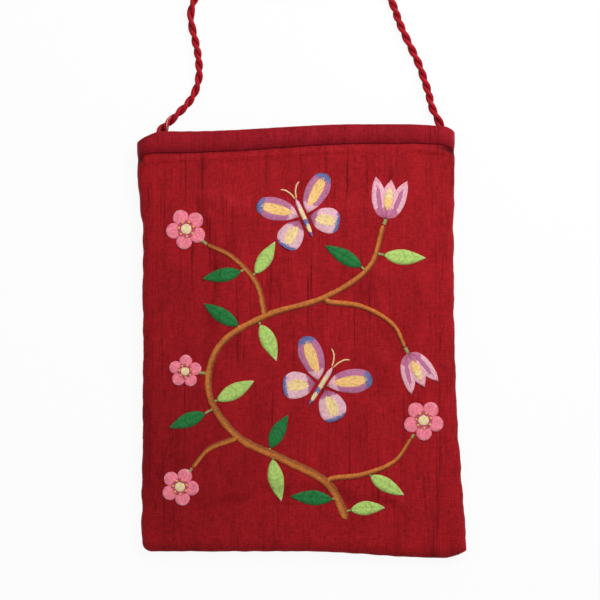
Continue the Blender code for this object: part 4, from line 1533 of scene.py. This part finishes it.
@dataclass(frozen=True)
class Tulip(Placed):
    """A tulip with two side petals, a middle petal and a heart, on a stalk."""

    OUTER: ClassVar[Outline] = ((0.0, 0.03), (0.10, 0.25), (0.42, 0.405), (0.78, 0.435), (1.0, 0.39))
    INNER: ClassVar[Outline] = ((0.0, 0.0), (0.30, 0.03), (0.62, 0.10), (0.84, 0.22), (1.0, 0.39))
    MIDDLE: ClassVar[Outline] = ((0.02, 0.0), (0.16, 0.13), (0.42, 0.185), (0.72, 0.15), (0.98, 0.0))
    HEART: ClassVar[Outline] = ((0.20, 0.0), (0.34, 0.10), (0.50, 0.115), (0.66, 0.08), (0.78, 0.0))

    def sew(self, walls: ClothWalls, roots: Line) -> None:
        """Sews the stalk and petals, then the heart.

        Args:
            walls: The cloth that it lies on.
            roots: Points along the stems' middle lines.
        """
        work = SatinWork(walls, f"{self.name}_stitches", pitch=0.5)
        work.stalk(roots, (self.x, self.y), self.heading, 1.8, 1.5)
        for mirror in (1.0, -1.0):
            work.sew(self.side(self.OUTER, mirror, 22), self.side(self.INNER, mirror, 22), 0.65 * MM, Lay.FAN)
        work.sew(*self.both(self.MIDDLE, 22), 0.62 * MM, Lay.FAN, layer=0.22 * MM)
        work.finish(PALE_PINK, self.name)
        heart = SatinWork(walls, f"{self.name}_heart_stitches", pitch=0.5)
        heart.sew(*self.both(self.HEART, 14), 0.4 * MM, Lay.BONE, layer=0.72 * MM)
        heart.finish(YELLOW, f"{self.name}_heart")


@dataclass(frozen=True)
class Butterfly(Placed):
    """A butterfly seen from above, with banded wings and a slim body."""

    FORE_AHEAD: ClassVar[Outline] = ((0.06, 0.13), (0.12, 0.50), (0.34, 0.92), (0.66, 1.12), (0.86, 1.08))
    FORE_BEHIND: ClassVar[Outline] = ((0.06, 0.13), (0.44, 0.17), (0.80, 0.46), (0.97, 0.84), (0.86, 1.08))
    HIND_AHEAD: ClassVar[Outline] = ((-0.04, 0.15), (0.03, 0.50), (-0.10, 0.84), (-0.36, 0.94), (-0.58, 0.84))
    HIND_BEHIND: ClassVar[Outline] = (
        (-0.04, 0.15), (-0.42, 0.19), (-0.70, 0.44), (-0.73, 0.68), (-0.58, 0.84))
    TRUNK: ClassVar[Outline] = ((-0.62, 0.0), (-0.40, 0.055), (0.0, 0.065), (0.40, 0.06), (0.58, 0.0))
    FEELER: ClassVar[Outline] = ((0.56, 0.02), (0.74, 0.07), (0.90, 0.17), (0.98, 0.30))

    def sew(self, walls: ClothWalls, roots: Line) -> None:
        """Sews both pairs of wings, then the body with its feelers.

        Args:
            walls: The cloth that it lies on.
            roots: Points along the stems' middle lines, which a butterfly has no stalk to; not used.
        """
        wings = (("forewing", self.FORE_AHEAD, self.FORE_BEHIND, LAVENDER),
                 ("hindwing", self.HIND_AHEAD, self.HIND_BEHIND, BLUE))
        for label, front, back, thread in wings:
            for word, mirror in (("left", 1.0), ("right", -1.0)):
                work = SatinWork(walls, f"{self.name}_{label}_{word}_stitches", pitch=0.55)
                work.sew(self.side(front, mirror, 24), self.side(back, mirror, 24), 0.68 * MM, Lay.FAN,
                         ends=(0.08, 0.08))
                work.finish(thread, f"{self.name}_{label}_{word}")
        work = SatinWork(walls, f"{self.name}_body_stitches", pitch=0.5)
        work.sew(*self.both(self.TRUNK, 20), 0.85 * MM, Lay.TWILL)
        rows = 12
        half = [0.36 * math.sqrt(max(0.0, 1 - (2 * k / rows - 1) ** 6)) for k in range(rows + 1)]
        for line in self.both(self.FEELER, rows):
            work.sew(*work.sides(line, half), 0.42 * MM, Lay.TWILL, stalk=True)
        work.finish(BODY, f"{self.name}_body")


@dataclass(frozen=True)
class Embroidery:
    """The flowering vine with its leaves, blossoms, tulips and butterflies."""

    motifs: tuple[Stem | Leaf | Blossom | Tulip | Butterfly, ...] = (
        Stem("vine", ((21, -83), (12, -66), (-8, -55), (-30, -44), (-43, -24), (-38, -2), (-16, 12),
                      (10, 20), (31, 34), (38, 54)), 3.4, 1.9),
        Stem("upper_sprig", ((-17.5, 13.8), (-21, 27), (-32, 39), (-44, 45)), 2.3, 1.5),
        Stem("lower_sprig", ((14.2, -63.8), (28, -62), (43, -56), (51, -45)), 2.3, 1.5),
        Stem("left_sprig", ((-32, -45.5), (-43, -50), (-51, -59)), 2.3, 1.5),
        Stem("right_sprig", ((12.6, 18.2), (28, 16), (42, 8), (48, -3)), 2.3, 1.5),
        Leaf("leaf_01", DARK_GREEN, 14.0, -73.6, 176, 19.5, 6.6),
        Leaf("leaf_02", LIGHT_GREEN, 22.8, -78.6, 4, 16.0, 6.2),
        Leaf("leaf_03", DARK_GREEN, -14.5, -49.6, 62, 17.5, 6.4),
        Leaf("leaf_04", LIGHT_GREEN, -13.5, -55.0, -78, 20.0, 6.8),
        Leaf("leaf_05", DARK_GREEN, -45.0, -33.6, 202, 18.0, 6.4),
        Leaf("leaf_06", LIGHT_GREEN, -39.2, -27.5, 28, 19.5, 7.0),
        Leaf("leaf_07", DARK_GREEN, -29.5, 7.4, 148, 19.0, 6.6),
        Leaf("leaf_08", LIGHT_GREEN, -19.3, 7.6, -66, 18.5, 6.8),
        Leaf("leaf_09", DARK_GREEN, -28.4, 32.2, 190, 18.0, 6.2),
        Leaf("leaf_10", LIGHT_GREEN, -21.6, 31.4, 58, 17.5, 6.2),
        Leaf("leaf_11", DARK_GREEN, 27.6, 34.6, 150, 19.5, 6.6),
        Leaf("leaf_12", LIGHT_GREEN, 38.2, 40.0, -4, 19.5, 6.8),
        Leaf("leaf_13", LIGHT_GREEN, 32.0, -62.6, -30, 18.0, 6.4),
        Blossom("blossom_01", -53.6, 52.0, 9.6, 8),
        Blossom("blossom_02", -56.6, -67.8, 9.0, 30),
        Blossom("blossom_03", 56.6, -36.8, 9.6, 20),
        Blossom("blossom_04", -54.2, -14.0, 7.8, 50),
        Tulip("tulip_01", 39.0, 56.6, 82, 19.0),
        Tulip("tulip_02", 49.4, -5.6, -64, 18.0),
        Butterfly("butterfly_01", 1.0, 57.5, 114, 16.5),
        Butterfly("butterfly_02", 9.0, -20.5, 58, 17.5),
    )

    def sew(self, walls: ClothWalls) -> None:
        """Sews every motif.

        Args:
            walls: The cloth, with its front settled.
        """
        stems = [motif for motif in self.motifs if isinstance(motif, Stem)]
        trunk = stems[0].line([])
        lines = [trunk] + [stem.line(trunk) for stem in stems[1:]]
        for stem, line in zip(stems, lines):
            stem.sew(walls, line)
        roots = [p for line in lines for p in line]
        for motif in self.motifs:
            if not isinstance(motif, Stem):
                motif.sew(walls, roots)
        LOG.info("embroidery sewn: %d motifs", len(self.motifs))


# Cord and zip


@dataclass
class Tube:
    """Sweeps a round section along a line with a steady frame."""

    LAYERS: ClassVar[tuple[str, ...]] = ("along", "over", "beside", "ply", "deep")

    sides: int = 8
    crevice_shade_at: float = 0.46
    crevice_shade_over: float = 0.42

    @classmethod
    def cloth(cls) -> Mesh:
        """An empty bmesh with the layers that the cord's material reads.

        Returns:
            The bmesh.
        """
        bm = bmesh.new()
        for name in cls.LAYERS:
            bm.verts.layers.float.new(name)
        return bm

    @staticmethod
    def frames(line: Line) -> list[tuple[Vector, Vector]]:
        """Directions square to a line, turned as little as possible.

        Args:
            line: Points along it.

        Returns:
            Two directions for each point.
        """
        found = []
        normal = Vector((0.0, 0.0, 1.0))
        for k in range(len(line)):
            way = ahead(line, k)
            normal = (normal - way * normal.dot(way)).normalized()
            found.append((normal, way.cross(normal)))
        return found

    def sweep(self, bm: Mesh, line: Line, radii: list[float],
              core: Line | None = None, reach: float = 1.0, ply: float = 0.0) -> None:
        """Adds a closed tube along a line.

        Args:
            bm: Where it goes, with this class's layers.
            line: Its centreline.
            radii: Its radius at each point.
            core: Middle line of the cord that the tube is a strand of.
            reach: Distance from the core at which a strand's surface stands free.
            ply: The strand's number, for its colour.
        """
        along_layer, over, beside, ply_layer, deep = (bm.verts.layers.float[name] for name in self.LAYERS)
        frames, along = self.frames(line), travelled(line)
        spots = grid(bm, self.sides, len(line) - 1)
        for v, i, j in spots:
            a = 2 * math.pi * i / self.sides
            one, two = frames[j]
            v.co = line[j] + (one * math.cos(a) + two * math.sin(a)) * radii[j]
            v[along_layer], v[over], v[beside], v[ply_layer] = along[j], math.cos(a), math.sin(a), ply
            if core:
                # The deep layer marks where painted shade falls on the strand, near the cord's middle between
                # the plies.
                v[deep] = 1 - smooth(((v.co - core[j]).length / reach - self.crevice_shade_at) / self.crevice_shade_over)
        bmesh.ops.remove_doubles(bm, verts=[v for v, _, _ in spots], dist=1e-7)
        close(bm)


@dataclass
class Strap:
    """The two-ply twisted cord: sewn into both corners of the mouth, with its spare length in a coil."""

    form: BagForm
    diameter: float = 3.5 * MM
    twist: float = 12.0 * MM
    ply_offset: float = 0.205
    ply_radius: float = 0.3
    shade_core_radius: float = 0.22
    loose_yarn: float = 0.22 * MM
    loose_lift: float = 0.95 * MM
    unevenness: float = 55.0
    parted_at: float = 15.2 * MM
    right_parted_at: float = 17.0 * MM
    run: float = 120 * MM
    loose_from: float = 10 * MM
    loose_to: float = 25 * MM
    coil_centre: Point = (-4.0 * MM, 190.0 * MM)
    coil_outer: float = 24.6 * MM
    coil_inner: float = 13.6 * MM
    rings: int = 4
    tie_turns: int = 3
    left_route: Outline = (
        (-67.4, 83.5), (-67.2, 91.0), (-64.7, 98.8), (-58.3, 105.5), (-52.9, 111.2), (-49.6, 117.0),
        (-48.0, 123.4), (-48.0, 129.0), (-48.7, 135.0), (-50.1, 141.8), (-51.6, 148.5), (-51.7, 154.0),
        (-49.9, 160.0), (-46.3, 165.6), (-40.8, 171.8), (-34.6, 179.4),
    )
    right_route: Outline = (
        (61.8, 83.5), (62.0, 90.6), (65.3, 97.8), (63.1, 104.2), (60.7, 109.3), (59.3, 115.5),
        (57.4, 121.5), (54.8, 129.0), (51.5, 136.0), (48.1, 143.1), (45.3, 149.5), (43.1, 156.0),
        (39.9, 162.0), (34.7, 168.4), (29.2, 174.6), (24.6, 181.2),
    )

    @property
    def low(self) -> float:
        """Height of the cord's middle where it lies on the surface."""
        return 0.54 * self.diameter

    def height(self, y: float) -> float:
        """Height of the cord's middle: over the back lip inside the mouth, on the surface past it.

        Args:
            y: Height on the bag.

        Returns:
            The height over the surface.
        """
        over_lip = self.form.wall + 0.3 * MM + self.diameter / 2
        falls_from = self.form.length / 2 - self.form.rise + 3 * MM
        return mix(over_lip, self.low, smooth((y - falls_from) / (16 * MM)))

    def coil(self) -> Line:
        """The coil, ring by ring inwards on the surface, then up and outwards over itself.

        Returns:
            Points along it.
        """
        layers, per_turn = 2, 24
        spacing = (self.coil_outer - self.coil_inner) / (self.rings - 1)
        found = []
        for k in range(round((layers * self.rings - 0.5) * per_turn) + 1):
            turn = k / per_turn
            if turn < self.rings - 0.2:
                inwards = int(turn) + smooth((turn % 1 - 0.8) / 0.2)
                radius = self.coil_outer - spacing * inwards
            else:
                past = turn - self.rings
                outwards = max(0.0, math.floor(past) + smooth((past % 1 - 0.5) / 0.2))
                radius = self.coil_inner + spacing * outwards
            rise = smooth((turn - self.rings + 0.35) / 0.2)
            found.append(self.round_coil(math.pi * (1 - 2 * turn), radius, self.low + self.diameter * rise))
        return found

    def round_coil(self, angle: float, radius: float, z: float) -> Vector:
        """A point at an angle round the coil's centre."""
        x, y = self.coil_centre
        return Vector((x + radius * math.cos(angle), y + radius * math.sin(angle), z))

    def centreline(self) -> Line:
        """The whole cord's middle line, from its left sewn end to its right one.

        Returns:
            Points along it, evenly spaced.
        """
        left, right = ([Vector((x * MM, y * MM, self.height(y * MM))) for x, y in route]
                       for route in (self.left_route, self.right_route[::-1]))
        coil = self.coil()
        drop = coil[-1].z - right[0].z
        right[0].z += 0.45 * drop
        right[1].z += 0.08 * drop
        line = spline(left + coil + right, 8)
        return respaced(line, int(travelled(line)[-1] / (0.7 * MM)))

    def fullness(self, s: float, whole: float) -> tuple[float, float]:
        """How full and how far apart the plies are at a place on the cord.

        Args:
            s: Distance from the cord's left end.
            whole: The cord's length.

        Returns:
            Factor on the plies' thickness, and factor on their distance from the middle.
        """
        seen = max(smooth((self.run - s) / (10 * MM)), smooth((s - whole + self.run) / (10 * MM)))
        left = math.exp(-((s - self.parted_at) / (4.8 * MM)) ** 2)
        right = math.exp(-((whole - s - self.right_parted_at) / (4 * MM)) ** 2)
        full = 1 + 0.07 * seen
        return full, full * (1 + 0.95 * left + 0.3 * right)

    def strand(self, line: Line, ply: int) -> tuple[Line, list[float]]:
        """One ply of the cord.

        Args:
            line: The cord's middle line.
            ply: 0 or 1.

        Returns:
            The ply's middle line, and its radius at each point.
        """
        whole, frames = travelled(line)[-1], Tube.frames(line)
        step = whole / (len(line) - 1)
        uneven = wander(self.parted_at * self.unevenness, 0.0, 3.0)
        strand, radii = [], []
        for k, p in enumerate(line):
            loosening = 0.3 * (wander(k * step * self.unevenness, 0.0, 3.0) - uneven)
            turns = (k * step - self.parted_at) / self.twist + loosening
            angle = QUARTER + math.pi * ply - 2 * math.pi * turns
            full, apart = self.fullness(k * step, whole)
            one, two = frames[k]
            out = one * math.cos(angle) + two * math.sin(angle)
            strand.append(p + out * self.ply_offset * self.diameter * apart)
            radii.append(self.ply_radius * self.diameter * full)
        return strand, radii

    def lay(self) -> Piece:
        """Returns:
            The cord.
        """
        line = self.centreline()
        whole = travelled(line)[-1]
        step = whole / (len(line) - 1)
        bm = Tube.cloth()
        plies = [self.strand(line, ply) for ply in (0, 1)]
        for ply, (strand, radii) in enumerate(plies):
            Tube(sides=10).sweep(bm, strand, radii, core=line, reach=self.diameter / 2, ply=float(ply))
        first, last = round(self.loose_from / step), round(self.loose_to / step)
        loose = [q + (q - p) * 0.55 + Vector((0.0, 0.0, self.loose_lift))
                 for p, q in zip(line[first:last], plies[0][0][first:last])]
        Tube(sides=6).sweep(bm, loose, [self.loose_yarn] * len(loose), ply=2.0)
        # A dark core where the plies part, marked wholly deep: painted shade that fills the gap between them.
        core = line[round(8 * MM / step):round(27 * MM / step)]
        Tube().sweep(bm, core, [self.shade_core_radius * self.diameter] * len(core), core=core)
        bmesh.ops.recalc_face_normals(bm, faces=bm.faces)
        cord = show("twisted_strap", bm, CORD, "cord_silk", "strap_left_run", "strap_right_run", "strap_coil")
        self.tie()
        LOG.info("cord laid: %.0f mm long", whole / MM)
        return cord

    def tie(self) -> Piece:
        """Turns of red thread that hold the coil.

        Returns:
            The tie.
        """
        steps, thread = 32, 0.28 * MM
        rest = 0.04 * MM + thread
        middle = (self.coil_outer + self.coil_inner) / 2
        across = (self.coil_outer - self.coil_inner) / 2 + self.diameter / 2 + 0.55 * MM
        centre, high = 1.04 * self.diameter, self.diameter + 0.35 * MM
        bm = Tube.cloth()
        for turn in range(self.tie_turns):
            line = []
            for k in range(steps + 1):
                a = 2 * math.pi * k / steps
                out = across * math.copysign(math.sqrt(abs(math.cos(a))), math.cos(a))
                up = high * math.copysign(math.sqrt(abs(math.sin(a))), math.sin(a))
                lean = QUARTER + 0.035 * (turn - 1) + 0.01 * math.sin(a)
                line.append(self.round_coil(lean, middle + out, max(centre + up, rest)))
            Tube(sides=6).sweep(bm, line, [thread] * len(line))
        bmesh.ops.recalc_face_normals(bm, faces=bm.faces)
        return show("coil_tie", bm, CORD, "cord_silk")


@dataclass(frozen=True)
class ZipWork:
    """Dresses the zip: two nylon coils for its rows of teeth, and finishes for its other pieces."""

    middle: Vector = field(default_factory=lambda: Vector((-2.7 * MM, 93.4 * MM, 5.4 * MM)))
    pitch: float = 1.4 * MM
    count: int = 79
    inner: float = 0.4 * MM
    outer: float = 2.2 * MM
    half_height: float = 0.6 * MM
    wire: float = 0.26 * MM
    steps: int = 12
    back_shift: float = 0.15

    def row(self, side: Side) -> Piece:
        """One row of teeth, as the flattened coil that it is.

        Args:
            side: Front or back.

        Returns:
            The row.
        """
        sign, shift = (1, 0.0) if side is Side.FRONT else (-1, self.back_shift)
        reach = (self.outer - self.inner) / 2 - self.wire
        across = (self.outer + self.inner) / 2
        tall = self.half_height - self.wire
        line = []
        for k in range((self.count - 1) * self.steps):
            turn = k / self.steps
            a = 2 * math.pi * turn
            x = (turn + 0.6 + shift - self.count / 2) * self.pitch
            line.append(self.middle + Vector((x, tall * math.sin(a), sign * (across - reach * math.cos(a)))))
        bm = Tube.cloth()
        Tube(sides=6).sweep(bm, line, [self.wire] * len(line))
        bmesh.ops.recalc_face_normals(bm, faces=bm.faces)
        return show(f"zip_coil_{side.value}", bm, TEETH, "zip_nylon", f"zip_teeth_{side.value}")

    def dress(self) -> None:
        """Makes both rows and gives the CAD pieces their finishes."""
        for side in Side:
            self.row(side)
        dressed = {
            TAPE: ("zip_tape_front", "zip_tape_back", "cord_tack_left", "cord_tack_right"),
            METAL: ("zip_top_stop_front", "zip_top_stop_back", "zip_bottom_stop", "zip_slider", "zip_pull"),
            LINING: ("front_lining", "back_lining"),
        }
        for finish, nodes in dressed.items():
            for node in nodes:
                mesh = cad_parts[node].data
                mesh.materials.clear()
                mesh.materials.append(finish.material())
        LOG.info("zip dressed: %d turns a side", self.count)


# Studio


@dataclass(frozen=True)
class Studio:
    """Camera straight above the bag, a pale floor and soft light."""

    view: Vector = field(default_factory=lambda: Vector((-0.8 * MM, 19.1 * MM, 5.0 * MM)))
    view_width: float = 279.6 * MM
    distance: float = 1.2
    sensor: float = 36.0
    floor_size: float = 6.0
    floor_drop: float = 0.05 * MM
    world_light: float = 0.36

    def camera(self) -> None:
        """Sets the camera over the bag, with +Y up."""
        data = bpy.data.cameras.new("camera")
        data.sensor_width = self.sensor
        data.sensor_fit = "HORIZONTAL"
        data.lens = self.sensor * self.distance / self.view_width
        data.clip_start, data.clip_end = 0.05, 20.0
        camera = bpy.data.objects.new("camera", data)
        camera.location = self.view + Vector((0.0, 0.0, self.distance))
        bpy.context.scene.collection.objects.link(camera)
        bpy.context.scene.camera = camera

    def lamp(self, name: str, place: tuple[float, float, float], size: float, power: float) -> None:
        """Adds a square soft light that points at the bag.

        Args:
            name: Its name.
            place: Where it hangs.
            size: Its side.
            power: Its power in watts.
        """
        data = bpy.data.lights.new(name, "AREA")
        data.size = size
        data.energy = power
        lamp = bpy.data.objects.new(name, data)
        lamp.location = place
        lamp.rotation_euler = (self.view - Vector(place)).to_track_quat("-Z", "Y").to_euler()
        lamp.visible_camera = False
        bpy.context.scene.collection.objects.link(lamp)

    @staticmethod
    def seen(graph: Graph) -> Socket:
        """Marks the rays that show the background itself: camera, glossy and transmission rays.

        Args:
            graph: Where the nodes go.

        Returns:
            1 for those rays and 0 for others.
        """
        path = graph.add("ShaderNodeLightPath").outputs
        glossy = graph.maths("MAXIMUM", path["Is Glossy Ray"], path["Is Transmission Ray"])
        return graph.maths("MAXIMUM", path["Is Camera Ray"], glossy)

    def floor(self) -> None:
        """A wide pale floor that keeps the bag's shadow."""
        bm = bmesh.new()
        bmesh.ops.create_grid(bm, x_segments=1, y_segments=1, size=self.floor_size)
        mesh = bpy.data.meshes.new("floor")
        bm.to_mesh(mesh)
        bm.free()
        mesh.materials.append(Paper("floor_paper").material())
        floor = bpy.data.objects.new("floor", mesh)
        floor.location = (0.0, 0.0, -self.floor_drop)
        bpy.context.scene.collection.objects.link(floor)

    def world(self) -> None:
        """Even pale light from all round, which shows as white itself."""
        world = bpy.data.worlds.new("studio")
        bpy.context.scene.world = world
        world.use_nodes = True
        graph = Graph(world.node_tree)
        strength = graph.ranged(self.seen(graph), 0.0, 1.0, self.world_light, 1.0)
        graph.feed(world.node_tree.nodes["Background"], {"Color": (1.0, 1.0, 1.0, 1.0), "Strength": strength})

    def build(self) -> None:
        """Sets up the whole studio."""
        bpy.context.scene.view_settings.view_transform = "Standard"
        self.camera()
        self.lamp("key", (0.27, 0.38, 0.46), 0.45, 3.25)
        self.lamp("fill", (-0.6, 0.5, 1.0), 0.9, 1.5)
        self.floor()
        self.world()


def main() -> None:
    """Builds the studio and every piece of the bag, in order."""
    logging.basicConfig(level=logging.INFO, format="%(message)s")
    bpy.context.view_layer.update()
    Studio().build()
    form = BagForm()
    Strap(form).lay()
    walls = ClothWalls(form)
    walls.relax()
    for side in Side:
        piece = walls.panel(side)
        walls.band(side)
    Embroidery().sew(walls)
    ZipWork().dress()


if __name__ == "__main__":
    main()
